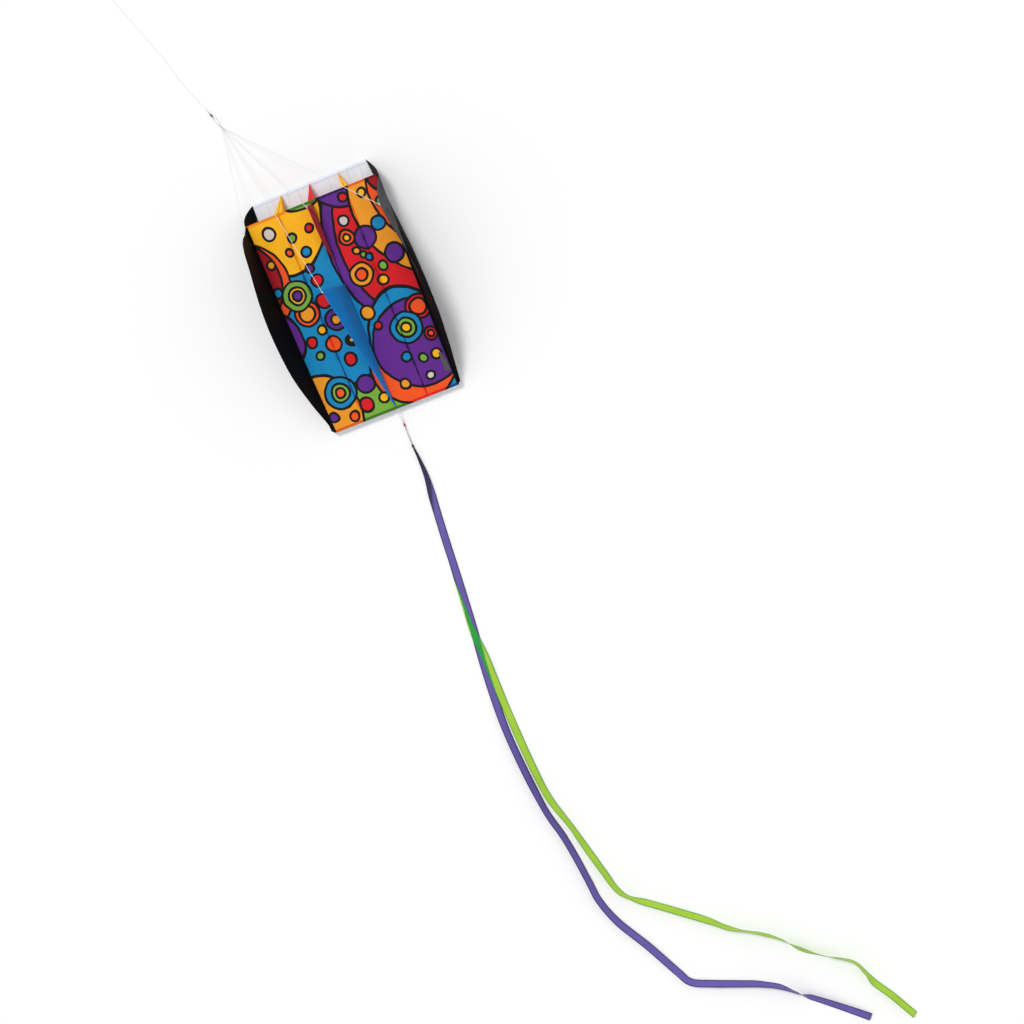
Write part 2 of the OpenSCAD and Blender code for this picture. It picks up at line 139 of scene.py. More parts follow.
class Paint:
    """One material, with its Principled shader and short names for the nodes that feed it."""

    def __init__(self, name, **sockets):
        self.material = bpy.data.materials.new(name)
        self.material.use_nodes = True
        self.nodes = self.material.node_tree.nodes
        self.links = self.material.node_tree.links
        self.shader = self.nodes["Principled BSDF"]
        for socket, value in sockets.items():
            self.shader.inputs[socket.replace("_", " ")].default_value = value

    def feed(self, socket, value):
        if isinstance(value, bpy.types.NodeSocket):
            self.links.new(value, socket)
        else:
            socket.default_value = value

    def node(self, kind, inputs=(), **settings):
        made = self.nodes.new("ShaderNode" + kind)
        for key, value in settings.items():
            setattr(made, key, value)
        for key, value in dict(inputs).items():
            self.feed(made.inputs[key], value)
        return made

    def math(self, operation, a, b=0.0, c=0.0):
        return self.node("Math", {0: a, 1: b, 2: c}, operation=operation).outputs[0]

    def times(self, a, b):
        return self.math("MULTIPLY", a, b)

    def below(self, value, limit):
        """1 where a value is below a limit, and 0 elsewhere."""
        return self.math("LESS_THAN", value, limit)

    def vector(self, operation, a, b):
        return self.node("VectorMath", {0: a, 1: b}, operation=operation).outputs[0]

    def scaled(self, vector, amount):
        return self.node("VectorMath", {0: vector, 3: amount}, operation="SCALE").outputs[0]

    def distance(self, a, b=(0, 0, 0)):
        return self.node("VectorMath", {0: a, 1: b}, operation="DISTANCE").outputs["Value"]

    def mix(self, factor, a, b):
        return self.node("Mix", {0: factor, 6: a, 7: b}, data_type="RGBA").outputs[2]

    def place(self):
        """Point on the piece, in millimetres in the row frame."""
        return self.scaled(self.node("TexCoord").outputs["Object"], 1 / MM)

    def cloth_place(self):
        """Point on the flat cut of the cloth, in millimetres."""
        return self.scaled(self.node("UVMap", uv_map="Cloth").outputs[0], 1 / MM)

    def split(self, vector):
        return self.node("SeparateXYZ", {0: vector}).outputs[:3]

    def noise(self, vector, size, detail=2.0):
        """Smooth noise from 0 to 1 whose patches are about size millimetres wide."""
        return self.node("TexNoise", {"Vector": vector, "Scale": 1 / size, "Detail": detail}).outputs[0]

    def ramp(self, value, low, high, to_low=0.0, to_high=1.0):
        return self.node("MapRange", {0: value, 1: low, 2: high, 3: to_low, 4: to_high}).outputs[0]

    def bump(self, height, distance, strength):
        """Bump from a height of 0 to 1 that stands for distance millimetres."""
        made = self.node("Bump", {"Height": height, "Strength": strength, "Distance": distance * MM})
        self.feed(self.shader.inputs["Normal"], made.outputs[0])

    def surface(self, colour, roughness):
        self.feed(self.shader.inputs["Base Color"], colour)
        self.feed(self.shader.inputs["Roughness"], roughness)


RIPSTOP_GRID = 5.0
RIPSTOP_THREAD = 0.06  # share of the grid that its thicker thread takes
FINE_THREAD = 0.7
WEAVE_DEPTH = 0.12


def weave(paint, flat):
    """Height and darkness of a ripstop weave: fine threads, and a thicker thread every few millimetres."""
    lines = []
    waves = []
    for along in paint.split(flat)[:2]:
        saw = paint.math("FRACT", paint.math("DIVIDE", along, RIPSTOP_GRID))
        lines.append(paint.below(saw, RIPSTOP_THREAD))
        waves.append(paint.math("SINE", paint.times(along, 2 * math.pi / FINE_THREAD)))
    cross = paint.math("MAXIMUM", *lines)
    threads = paint.times(paint.times(*waves), 0.25)
    return paint.math("MULTIPLY_ADD", cross, 0.5, threads), cross


def finish_cloth(paint, colour, flat):
    """Weave, faint soiling and shine variation over a cloth's colour."""
    height, cross = weave(paint, flat)
    broad = paint.noise(flat, 45.0)
    small = paint.noise(flat, 4.0, 3.0)
    soiling = paint.ramp(broad, 0.3, 0.7, 0.94, 1.04)
    speckle = paint.ramp(small, 0.3, 0.7, -0.03, 0.03)
    shade = paint.math("ADD", soiling, speckle)
    shade = paint.times(shade, paint.ramp(cross, 0.0, 1.0, 1.0, 0.93))
    paint.surface(paint.scaled(colour, shade), paint.ramp(small, 0.25, 0.75, 0.5, 0.66))
    paint.bump(height, WEAVE_DEPTH, 0.35)
    return paint.material


def deepen_for_ply_and_shade(paint, colour, mask):
    """Colour deepened where mask is 1, by a second layer of the same cloth under it; on the belly's seams the
    mask also carries painted shade.
    """
    lightened = paint.mix(0.12, colour, (1, 1, 1, 1))
    return paint.mix(mask, colour, paint.vector("MULTIPLY", colour, lightened))


def hem_mask(paint, flat, length):
    """1 on the hems at the start and end of a cloth's length, in millimetres."""
    v = paint.split(flat)[1]
    start = paint.below(v, HEM)
    end = paint.math("GREATER_THAN", v, length - HEM)
    return paint.math("MAXIMUM", start, end)


def plain_cloth(name, colour, sheen=0.1, specular=0.2, hem_length=None):
    paint = Paint(name, Sheen_Weight=sheen, Sheen_Roughness=0.4, Specular_IOR_Level=specular)
    flat = paint.cloth_place()
    base = paint.node("RGB").outputs[0]
    base.default_value = colour
    if hem_length:
        base = deepen_for_ply_and_shade(paint, base, hem_mask(paint, flat, hem_length))
    return finish_cloth(paint, base, flat)


SHEEN_START_Y = -30.0
SHEEN_FULL_Y = 130.0
SHEEN_WANDER = 70.0
CREASE_SHEEN_SIZE = 22.0


def sheen_painted_black(name):
    """Black cloth with painted sheen: grey is painted towards the kite's front, where light falls on it, with
    paler painted highlights along its creases.
    """
    paint = Paint(name, Sheen_Weight=0.01, Sheen_Roughness=0.4, Specular_IOR_Level=0.04)
    flat = paint.cloth_place()
    place = paint.place()
    # Painted sheen: grey towards the front, where light falls on the flare, and paler painted highlights on
    # its creases.
    edge = paint.ramp(paint.noise(place, 60.0), 0.3, 0.7, -SHEEN_WANDER, SHEEN_WANDER)
    front = paint.ramp(paint.math("ADD", paint.split(place)[1], edge), SHEEN_START_Y, SHEEN_FULL_Y)
    stretched = paint.vector("MULTIPLY", flat, (0.35, 1.0, 1.0))
    crease_sheen = paint.ramp(paint.noise(stretched, CREASE_SHEEN_SIZE, 3.0), 0.4, 0.8)
    grey = paint.mix(crease_sheen, srgb(64, 66, 70), srgb(88, 90, 94))
    return finish_cloth(paint, paint.mix(front, srgb(11, 11, 12), grey), flat)


YELLOW = srgb(246, 178, 24)
AMBER = srgb(234, 150, 38)
RED = srgb(212, 26, 34)
DARK_RED = srgb(158, 18, 32)
ORANGE = srgb(240, 84, 30)
BLUE = srgb(18, 132, 186)
GREEN = srgb(118, 168, 62)
PURPLE = srgb(96, 40, 138)
PALE = srgb(206, 192, 188)
BLACK = srgb(22, 20, 22)
LAVENDER = srgb(243, 247, 255)

HEM = 7.0
BELLY_LENGTH = 545.0
BACK_LENGTH = 589.0
lavender_cloth = plain_cloth("lavender ripstop", LAVENDER, hem_length=BACK_LENGTH)
yellow_cloth = plain_cloth("yellow ripstop", YELLOW)
red_cloth = plain_cloth("red ripstop", srgb(226, 30, 40))
keel_red_cloth = plain_cloth("dark red ripstop", srgb(182, 24, 36))
keel_blue_cloth = plain_cloth("blue ripstop", srgb(4, 126, 204))
black_cloth = plain_cloth("black ripstop", srgb(11, 11, 13), sheen=0.01, specular=0.05)
# Black cloth with painted sheen, for the right flare.
sheen_painted_cloth = sheen_painted_black("black ripstop with painted sheen")
tag_cloth = plain_cloth("grey tape", srgb(88, 86, 90))


# The print: an arrangement of plain fields and discs in millimetres, painted over each other in this order

LINE = 6.0
PRINT_WANDER = 9
PRINT_WANDER_SIZE = 45
SEAM_FOLD = 1.6
FIELDS = [
    # centre x, centre y, half width, half length, turn in degrees, colour
    (-100, 252, 116, 162, 4, YELLOW),
    (-236, 94, 118, 118, 0, ORANGE),
    (-250, 108, 112, 112, 0, DARK_RED),
    (-22, 266, 54, 38, 0, GREEN),
    (122, 96, 130, 208, 0, PURPLE),
    (152, 104, 132, 196, -3, RED),
    (100, -190, 106, 168, 0, BLUE),
    (96, 300, 100, 106, 0, PURPLE),
    (298, 172, 216, 216, 0, AMBER),
    (322, 196, 186, 186, 0, ORANGE),
    (188, 252, 46, 56, 0, DARK_RED),
    (-178, -44, 34, 58, 6, PURPLE),
    (-26, -316, 124, 120, 0, GREEN),
    (-172, -268, 92, 116, -12, AMBER),
    (82, -208, 106, 100, 0, ORANGE),
    (116, -166, 114, 108, 0, PURPLE),
]
DISCS = [
    # centre x, centre y, then radius and colour from the outside inwards
    (-126, 204, (12, PALE)),
    (-76, 176, (8, GREEN)),
    (-56, 132, (9, BLUE)),
    (-96, 146, (6, ORANGE)),
    (-28, 182, (7, RED)),
    (-64, 92, (8, PURPLE)),
    (-58, 58, (11, RED)),
    (-150, 132, (7, AMBER)),
    (-160, 66, (9, BLUE)),
    (-112, -6, (27, ORANGE), (16, AMBER)),
    (-118, 42, (33, GREEN), (17, YELLOW), (8, PURPLE)),
    (-62, 8, (15, RED)),
    (-52, -44, (23, PURPLE), (9, AMBER)),
    (-94, -56, (8, YELLOW)),
    (-128, -74, (10, RED)),
    (-80, -98, (16, ORANGE)),
    (-120, -112, (7, GREEN)),
    (-36, -104, (10, GREEN), (4, YELLOW)),
    (-56, -146, (12, RED)),
    (-112, -212, (36, BLUE), (20, GREEN), (9, ORANGE)),
    (-150, -262, (9, PURPLE)),
    (-46, -214, (19, PURPLE)),
    (-64, -262, (14, RED)),
    (-102, -276, (9, ORANGE)),
    (-16, -262, (9, YELLOW)),
    (56, 168, (10, PALE)),
    (48, 128, (16, ORANGE), (6, YELLOW)),
    (90, 112, (23, PURPLE)),
    (58, 90, (6, AMBER)),
    (70, 76, (5, GREEN)),
    (82, 66, (6, BLUE)),
    (48, 32, (25, AMBER), (11, ORANGE)),
    (104, 34, (8, GREEN)),
    (92, 2, (9, YELLOW)),
    (132, 132, (15, BLUE)),
    (142, 52, (20, PURPLE)),
    (160, 178, (10, GREEN)),
    (74, 220, (8, RED)),
    (122, 214, (7, YELLOW)),
    (26, -58, (14, AMBER)),
    (38, -96, (7, RED)),
    (146, -86, (27, RED), (17, ORANGE)),
    (100, -124, (36, BLUE), (21, GREEN), (9, YELLOW)),
    (150, -158, (13, RED), (5, ORANGE)),
    (72, -190, (9, BLUE)),
    (108, -206, (8, GREEN)),
    (142, -208, (9, YELLOW)),
    (44, -250, (9, AMBER)),
    (110, -252, (7, PALE)),
]


def seam_ply_and_shade_mask(paint, point):
    """1 along the seams of the inner ribs, where the cloth is folded double. The band's width wanders with
    noise, and the band also stands for painted shade in the valleys at the seams.
    """
    x, y, _ = paint.split(point)
    from_centre = paint.math("ABSOLUTE", x)
    chord = paint.math("DIVIDE", paint.math("SUBTRACT", y, TAIL_Y), BELLY_CHORD)
    quarter = paint.math("MULTIPLY_ADD", chord, (BELLY_NOSE_WIDTH - TAIL_WIDTH) / 4, TAIL_WIDTH / 4)
    away = paint.math("ABSOLUTE", paint.math("SUBTRACT", from_centre, quarter))
    fold = paint.ramp(paint.noise(point, 20.0), 0.35, 0.65, 1.0, 3.4)
    rib = paint.below(away, fold)
    centre = paint.below(from_centre, SEAM_FOLD)
    return paint.math("MAXIMUM", rib, centre)


def outlined(paint, colour, away, inner, outer, fill):
    """Colour with a fill over it where away is below inner, and a black line from there to outer."""
    colour = paint.mix(paint.below(away, outer), colour, BLACK)
    return paint.mix(paint.below(away, inner), colour, fill)


def print_colour(paint):
    """Colour of the printed panel at each point, from its fields and discs, which have black outlines."""
    flat_point = paint.vector("MULTIPLY", paint.place(), (1, 1, 0))
    wander = paint.node("TexNoise", {"Vector": flat_point, "Scale": 1 / PRINT_WANDER_SIZE, "Detail": 1.0})
    offset = paint.vector("SUBTRACT", wander.outputs["Color"], (0.5, 0.5, 0.5))
    offset = paint.vector("MULTIPLY", offset, (PRINT_WANDER, PRINT_WANDER, 0))
    point = paint.vector("ADD", flat_point, offset)
    colour = BLUE
    for x, y, half_width, half_length, turn, fill in FIELDS:
        ellipse = {"Vector": point, "Location": (x, y, 0), "Rotation": (0, 0, math.radians(turn)),
                   "Scale": (half_width, half_length, 1)}
        away = paint.distance(paint.node("Mapping", ellipse, vector_type="TEXTURE").outputs[0])
        line = LINE / 2 / min(half_width, half_length)
        colour = outlined(paint, colour, away, 1 - line, 1 + line, fill)
    for x, y, *rings in DISCS:
        away = paint.distance(point, (x, y, 0))
        for radius, fill in rings:
            colour = outlined(paint, colour, away, radius, radius + LINE, fill)
    hems = hem_mask(paint, paint.cloth_place(), BELLY_LENGTH)
    # Hems are folded double; the seam band is double ply and also painted shade in the seam valleys.
    plies = paint.math("MAXIMUM", hems, seam_ply_and_shade_mask(paint, flat_point))
    return deepen_for_ply_and_shade(paint, colour, plies)


def printed_cloth():
    paint = Paint("printed ripstop", Sheen_Weight=0.05, Sheen_Roughness=0.4, Specular_IOR_Level=0.14)
    return finish_cloth(paint, print_colour(paint), paint.cloth_place())


belly_cloth = printed_cloth()


def cord_material(name, light, dark, pitch):
    """Braided cord: two sets of slanted strands, with darker gaps."""
    paint = Paint(name, Sheen_Weight=0.3, Sheen_Roughness=0.5, Specular_IOR_Level=0.3)
    x, y, z = paint.split(paint.place())
    run = paint.math("MULTIPLY_ADD", x, 0.35, y)
    across = paint.math("MULTIPLY_ADD", x, 0.9, z)
    strands = []
    for sign in (1, -1):
        slanted = paint.math("MULTIPLY_ADD", across, sign, run)
        phase = paint.times(slanted, 2 * math.pi / pitch)
        strands.append(paint.math("SINE", phase))
    braid = paint.ramp(paint.times(*strands), -1.0, 1.0)
    paint.surface(paint.mix(paint.ramp(braid, 0.2, 0.7), dark, light), paint.ramp(braid, 0.0, 1.0, 0.8, 0.55))
    paint.bump(braid, 0.08, 0.6)
    return paint.material


white_cord = cord_material("white braid", srgb(240, 240, 238), srgb(196, 196, 198), 0.9)
leader_cord = cord_material("dark braid", srgb(104, 100, 118), srgb(58, 54, 70), 0.7)
dark_thread = cord_material("dark thread", srgb(58, 40, 44), srgb(30, 22, 26), 0.5)
black_thread = cord_material("black thread", srgb(44, 42, 46), srgb(18, 17, 20), 0.5)
pale_thread = cord_material("pale thread", srgb(214, 210, 226), srgb(176, 172, 192), 0.5)


def metal(name, colour, worn, rough, metallic=1.0, dark_below=None):
    """Metal with brushed scratches and lighter wear. dark_below=(y, colour) blackens what lies behind y."""
    paint = Paint(name, Metallic=metallic)
    point = paint.place()
    scratches = paint.noise(paint.vector("MULTIPLY", point, (1.0, 6.0, 6.0)), 1.2, 4.0)
    wear = paint.noise(point, 2.6, 3.0)
    tone = paint.mix(paint.ramp(wear, 0.45, 0.75), colour, worn)
    if dark_below:
        limit, dark = dark_below
        tone = paint.mix(paint.below(paint.split(point)[1], limit), tone, dark)
    paint.surface(tone, paint.ramp(scratches, 0.3, 0.7, rough - 0.08, rough + 0.12))
    paint.bump(scratches, 0.03, 0.3)
    return paint.material


TAIL_BARREL_DARK_Y = -341.5
steel = metal("bright steel wire", srgb(196, 198, 204), srgb(230, 230, 234), 0.28)
dark_brass = metal("blackened brass", srgb(48, 45, 44), srgb(98, 88, 74), 0.4, metallic=0.8)
pink_wire = metal("pink wire", srgb(226, 148, 158), srgb(240, 196, 200), 0.34, metallic=0.7)
red_metal = metal("red anodised", srgb(196, 36, 62), srgb(226, 110, 124), 0.36, metallic=0.6,
                  dark_below=(TAIL_BARREL_DARK_Y, srgb(70, 18, 30)))


# Curves and noise

def mix(a, b, t):
    return a + (b - a) * t


def rise(value, low, high):
    """0 below low, 1 above high, and a smooth curve between."""
    t = min(1.0, max(0.0, (value - low) / (high - low)))
    return t * t * (3 - 2 * t)


def curve_at(a, b, c, d, t):
    """Point at t on the smooth curve from b to c, whose neighbours are a and d."""
    square = (2 * a - 5 * b + 4 * c - d) * t ** 2
    cube = (3 * b - a - 3 * c + d) * t ** 3
    return 0.5 * (2 * b + (c - a) * t + square + cube)


def profile(pairs, k):
    """Value at k on the smooth curve through a list of (station, value) pairs."""
    last = len(pairs) - 1
    i = max(n for n in range(last) if n == 0 or k >= pairs[n][0])
    values = [pairs[n][1] for n in (max(0, i - 1), i, i + 1, min(last, i + 2))]
    return curve_at(*values, (k - pairs[i][0]) / (pairs[i + 1][0] - pairs[i][0]))


def steps(first, last, count):
    """Values from first to last, both ends included, with count equal steps between them."""
    return [mix(first, last, i / count) for i in range(count + 1)]


def drift(x, y, z):
    """Smooth noise from about -1 to 1."""
    return noise.noise(Vector((x, y, z)))


# Surfaces of the canopy, at a station k along it and a share u across it or v up it

def cell(u):
    """0 at the seams and 1 in the middle of each cell."""
    return abs(math.sin(2 * math.pi * u))


def back_rise(y):
    nose = max(0, y - FLAT_FRONT_Y) / (NOSE_Y - FLAT_FRONT_Y)
    tail = max(0, FLAT_REAR_Y - y) / (FLAT_REAR_Y - TAIL_Y)
    return NOSE_RISE * nose ** 2 + TAIL_RISE * tail ** 2


def back_half(k):
    return mix(TAIL_WIDTH, BACK_NOSE_WIDTH, k) / 2 + BACK_BOW * math.sin(math.pi * k)


def back_at(k, u):
    y = TAIL_Y + k * BACK_CHORD
    return Vector((u * back_half(k), y, back_rise(y) * (1 - EDGE_SAG * k * cell(u))))


def belly_half(k):
    return mix(TAIL_WIDTH, BELLY_NOSE_WIDTH, k) / 2


def billow(k):
    return BELLY_BILLOW * math.sin(math.pi / 2 * min(1, 2 * k)) * (1 - BELLY_FLATTEN * k * k)


def belly_rib_z(k):
    return mix(TAIL_RISE + CLOTH_T + SEAM_GAP, INTAKE_HEIGHT, math.sin(math.pi / 2 * k))


def belly_at(k, u):
    height = belly_rib_z(k) + billow(k) * cell(u) - BELLY_SIDE_DROP * u * u * k
    return Vector((u * belly_half(k), TAIL_Y + k * BELLY_CHORD, height))


def seam_at(k, u):
    return belly_at(k, u) + CLOTH_T * UP


def leaning(lean, height):
    """Step of a height up a sheet that leans to the right of upright."""
    return Vector((math.sin(lean) * height, 0, math.cos(lean) * height))


def flare_height(k):
    return FLARE_HEIGHT * profile(FLARE_SHAPE, k)


def flare_lean(which, k):
    """How far a flare leans outwards, in radians."""
    turn = FLARES[which][2]
    return math.radians(profile(FLARE_LEAN, k) - turn * k ** 4)


def flare_at(which, k, v):
    side, shear, _, _ = FLARES[which]
    height = v * flare_height(k)
    lift = leaning(side * flare_lean(which, k), height)
    return seam_at(k, side) + lift + Vector((side * SEAM_GAP, shear * height / FLARE_HEIGHT * k, SEAM_GAP))


def front_keel_at(k, v):
    height = v * FRONT_KEEL_HEIGHT * profile(FRONT_KEEL_SHAPE, k)
    return seam_at(k, 0) + leaning(-FRONT_KEEL_LEAN, height) + SEAM_GAP * UP


def rear_keel_at(k, v):
    height = v * REAR_KEEL_HEIGHT * max(0.02, k / REAR_KEEL_FRONT)
    return seam_at(k, 0) + leaning(-REAR_KEEL_LEAN, height) + SEAM_GAP * UP


# Tow point, tail point and cord routes, as in the CAD model

CORD_R = 0.6
LEADER_R = 0.4
WIRE_R = 0.45
TOW_AT = Vector((-155, 502, 3.2))
TOW_TURN = math.radians(110)
KNOT_R = 3.0
TOW_LOOP_R = 2.4
TOW_LOOP_BACK = 1.1
TIP_LOOP_R = 3.0
LEG_BURY = 0.6
LEG_LEVEL = 0.9
SNAP_REACH = 24.0  # from the tow point to where the snap holds the swivel's eye
EYE_R = 1.9
BARREL_GAP = 0.65
BARREL_LENGTH = 8
TIE_REACH = 3
TIE_R = 2.1
END_LOOP_R = 9.0
END_KNOT_R = 1.8
TAIL_KNOT_AT = Vector((0, -395, 3.3))
LINE_ROUTE = [
    (-170, 544, 3.2), (-172, 550, 2.6), (-175, 557, 1.8), (-179, 566, 1.1),
    (-184, 578, 0.8), (-191, 594, 0.8), (-198, 611, 0.8), (-204, 628, 0.8),
    (-209, 646, 0.8), (-214, 664, 0.8), (-219, 682, 0.8), (-224, 700, 0.8),
    (-230, 717, 0.8), (-236, 734, 0.8), (-243, 753, 0.8), (-250, 773, 0.8),
    (-257, 792, 0.8), (-264, 811, 0.8), (-271, 830, 0.8), (-278, 849, 0.8),
    (-285, 869, 0.8), (-292, 889, 0.8), (-299, 909, 0.8),
]
TAIL_LOOP_SIDE = [
    (2.6, -298.6, 20.4), (2.6, -305, 16.5), (2.4, -313, 11.4),
    (2.1, -321, 6.8), (2.0, -327, 4.7), (2.0, -330.3, 4.4),
]
TAIL_BEND_R = 2.0
TAIL_BEND_AT = Vector((0, -330.3, 4.4))
LEADER_BEND_R = 1.3
LEADER_BEND_Y = -346.6
LEADER_BEND_Z = 4.4
tow_way = Vector((math.cos(TOW_TURN), math.sin(TOW_TURN), 0))
tow_side = Vector((-math.sin(TOW_TURN), math.cos(TOW_TURN), 0))
bridle_knot_at = TOW_AT - (KNOT_R + TOW_LOOP_R + CORD_R + TOW_LOOP_BACK) * tow_way
tow_loop_at = TOW_AT - TOW_LOOP_BACK * tow_way
tie_along = SNAP_REACH + 2 * (EYE_R + WIRE_R + BARREL_GAP) + BARREL_LENGTH + TIE_REACH


def add_piece(name, data, material, body, stands_for_node):
    """Object that rides on a body. Where it stands for a CAD node, both have the same name."""
    data.materials.append(material)
    piece = add_object(name, data)
    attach(piece, body)
    if stands_for_node:
        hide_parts(name)
    return piece


# Cords

def smooth_route(points, between):
    """Points on the smooth curve through a route, with a number of steps from each point to the next."""
    points = [Vector(p) for p in points]
    last = len(points) - 1
    out = []
    for i in range(last):
        ends = [points[n] for n in (max(0, i - 1), i, i + 1, min(last, i + 2))]
        out += [curve_at(*ends, s / between) for s in range(between)]
    return out + [points[last]]


def route_length(points):
    return sum((b - a).length for a, b in zip(points, points[1:]))


def curve_piece(name, points, radius, material=white_cord, closed=False, body=CANOPY, stands_for_node=True):
    """Round cord along points in millimetres, as a curve with one spline."""
    data = bpy.data.curves.new(name, "CURVE")
    data.dimensions = "3D"
    data.bevel_depth = radius * MM
    data.bevel_resolution = 3
    data.use_fill_caps = not closed
    spline = data.splines.new("POLY")
    spline.points.add(len(points) - 1)
    for target, point in zip(spline.points, points):
        target.co = (*(Vector(point) * MM), 1.0)
    spline.use_cyclic_u = closed
    spline.use_smooth = True
    return add_piece(name, data, material, body, stands_for_node)


def axes(way):
    """Unit vectors along a way, level across it, and up from both."""
    along = Vector(way).normalized()
    across = along.cross(UP).normalized()
    return along, across, across.cross(along)


def ring(centre, reach, aside, count=28, pinch=0.0, power=1.0):
    """Closed line round a centre, through the ends of reach and aside. Its side at -reach is pinched in."""
    points = []
    for i in range(count):
        t = 2 * math.pi * i / count
        narrow = 1 - pinch * max(0.0, -math.cos(t)) ** power
        points.append(centre + math.cos(t) * reach + narrow * math.sin(t) * aside)
    return points


def turns(start, along, across, up, count, per_turn):
    """Turns of a cord. It moves on by along in each turn, and across and up are its radii."""
    points = []
    for i in range(count * per_turn + 1):
        t = 2 * math.pi * i / per_turn
        points.append(start + i / per_turn * along + math.cos(t) * across + math.sin(t) * up)
    return points


def knot_points(at, way, size):
    """Closed line of an overhand knot about size millimetres in radius, pulled out along way."""
    along, across, up = axes(way)
    count = 72
    out = []
    for i in range(count):
        t = 2 * math.pi * i / count
        reach = 2 + math.cos(3 * t)
        x, y, z = math.cos(2 * t) * reach, math.sin(2 * t) * reach, 1.3 * math.sin(3 * t)
        out.append(at + size / 3 * (1.05 * x * along + 0.8 * y * across + 0.75 * z * up))
    return out


def leg_points(top, level, sag):
    """Bridle leg from the knot to the top of a tip loop, with a slight sag."""
    start = bridle_knot_at + (KNOT_R - LEG_BURY) * (top - bridle_knot_at).normalized() + level * UP
    return [mix(start, top, t) - sag * math.sin(math.pi * t) * UP for t in steps(0, 1, 24)]


TIPS = {
    "flare_left": flare_at("left", FLARES["left"][3], 1),
    "flare_right": flare_at("right", FLARES["right"][3], 1),
    "front_keel": front_keel_at(FRONT_KEEL_TIP, 1),
    "rear_keel": rear_keel_at(REAR_KEEL_FRONT - 0.01, 1),
}
LEGS = {
    # level at the knot, sag
    "flare_left": (LEG_LEVEL, 9),
    "flare_right": (LEG_LEVEL, 2),
    "front_keel": (-LEG_LEVEL, 5),
    "rear_keel": (LEG_LEVEL, 3),
}
KNOT_CORD_R = 0.95
HITCH_CORD_R = 0.5
HITCH_R = 1.15
HITCH_PITCH = 1.3


def tip_loop(name, tip):
    """Loop of cord through a tip: a drop shape that stands on the cloth and narrows to its stitched root."""
    centre = tip + (TIP_LOOP_R + CORD_R) * UP
    points = ring(centre, TIP_LOOP_R * UP, TIP_LOOP_R * FORWARD, pinch=0.35)
    return curve_piece("loop_" + name, points, CORD_R, closed=True)


def hitch(name, top, way):
    """Two turns of a leg round its tip loop, beside each other."""
    along, across, up = axes(way)
    start = top - 2 * HITCH_PITCH * along
    points = turns(start, HITCH_PITCH * along, HITCH_R * across, HITCH_R * up, 2, 18)
    return curve_piece("hitch_" + name, points, HITCH_CORD_R, stands_for_node=False)


def make_bridle():
    for name, tip in TIPS.items():
        tip_loop(name, tip)
        top = tip + (2 * TIP_LOOP_R + CORD_R) * UP
        points = leg_points(top, *LEGS[name])
        leg = curve_piece("leg_" + name, points, CORD_R)
        knot = hitch(name, top, points[-1] - points[-2])
        route_length(points) * MM
    curve_piece("bridle_knot", knot_points(bridle_knot_at, tow_way, KNOT_R), KNOT_CORD_R, closed=True)
    loop = ring(tow_loop_at, TOW_LOOP_R * tow_way, TOW_LOOP_R * UP)
    curve_piece("tow_loop", loop, CORD_R, closed=True)


TIE_CORD_R = 0.4
CLINCH_CORD_R = 0.42
CLINCH_BEYOND = 1.9
CLINCH_PITCH = 0.95
CLINCH_R = 0.85


def make_tie(body):
    """The line's tie round the swivel's eye, and the four turns of its clinch knot beyond it."""
    loop = ring(TOW_AT + tie_along * tow_way, -TIE_R * tow_way, TIE_R * tow_side, pinch=0.45)
    tie = curve_piece("line_tie", loop, TIE_CORD_R, closed=True, body=body)
    start = TOW_AT + (tie_along + CLINCH_BEYOND) * tow_way
    wraps = turns(start, CLINCH_PITCH * tow_way, CLINCH_R * tow_side, CLINCH_R * UP, 4, 20)
    return tie, curve_piece("line_clinch", wraps, CLINCH_CORD_R, body=body, stands_for_node=False)


def make_line():
    """Flying line, its knot at the swivel's eye, and its end knot and loop."""
    body = "line"
    tie, clinch = make_tie(body)
    points = smooth_route(LINE_ROUTE, 4)
    line = curve_piece("flying_line", points, CORD_R, body=body)
    way = (points[-1] - points[-2]).normalized()
    way.z = 0
    side = way.cross(UP)
    knot_size = END_KNOT_R + 0.2
    knot_at = Vector((points[-1].x, points[-1].y, knot_size)) + END_KNOT_R * way
    knot = curve_piece("line_end_knot", knot_points(knot_at, way, knot_size), 0.62, closed=True, body=body)
    centre = points[-1] + (2 * END_KNOT_R + END_LOOP_R) * way
    loop = ring(centre, END_LOOP_R * way, END_LOOP_R * side, count=48, pinch=0.5, power=1.5)
    end = curve_piece("line_end_loop", loop, CORD_R, closed=True, body=body)
    route_length(points) * MM


def both_sides(side, bend):
    """Route along one side, round a bend and back along the other side, which mirrors the first."""
    return [Vector(p) for p in side] + bend + [Vector((-x, y, z)) for x, y, z in reversed(side)]


def make_tail_cords():
    half_turn = steps(0, math.pi, 12)
    bend = [TAIL_BEND_AT + TAIL_BEND_R * Vector((math.cos(a), -math.sin(a), 0)) for a in half_turn[1:-1]]
    points = smooth_route(both_sides(TAIL_LOOP_SIDE, bend), 3)
    loop = curve_piece("tail_loop", points, CORD_R)
    route_length(points) * MM

    knot_y = TAIL_KNOT_AT.y
    side = [(0.8, knot_y + 2, 3.3), (1.0, knot_y + 12, 3.4), (1.2, knot_y + 24, 3.9),
            (LEADER_BEND_R, LEADER_BEND_Y - 8, 4.3), (LEADER_BEND_R, LEADER_BEND_Y - 2, LEADER_BEND_Z)]
    centre = Vector((0, LEADER_BEND_Y - LEADER_BEND_R, LEADER_BEND_Z))
    bend = [centre + LEADER_BEND_R * Vector((math.cos(a), math.sin(a), 0)) for a in half_turn]
    points = smooth_route(both_sides(side, bend), 3)
    return curve_piece("tail_leader", points, LEADER_R, leader_cord, body="tail_cord"), points


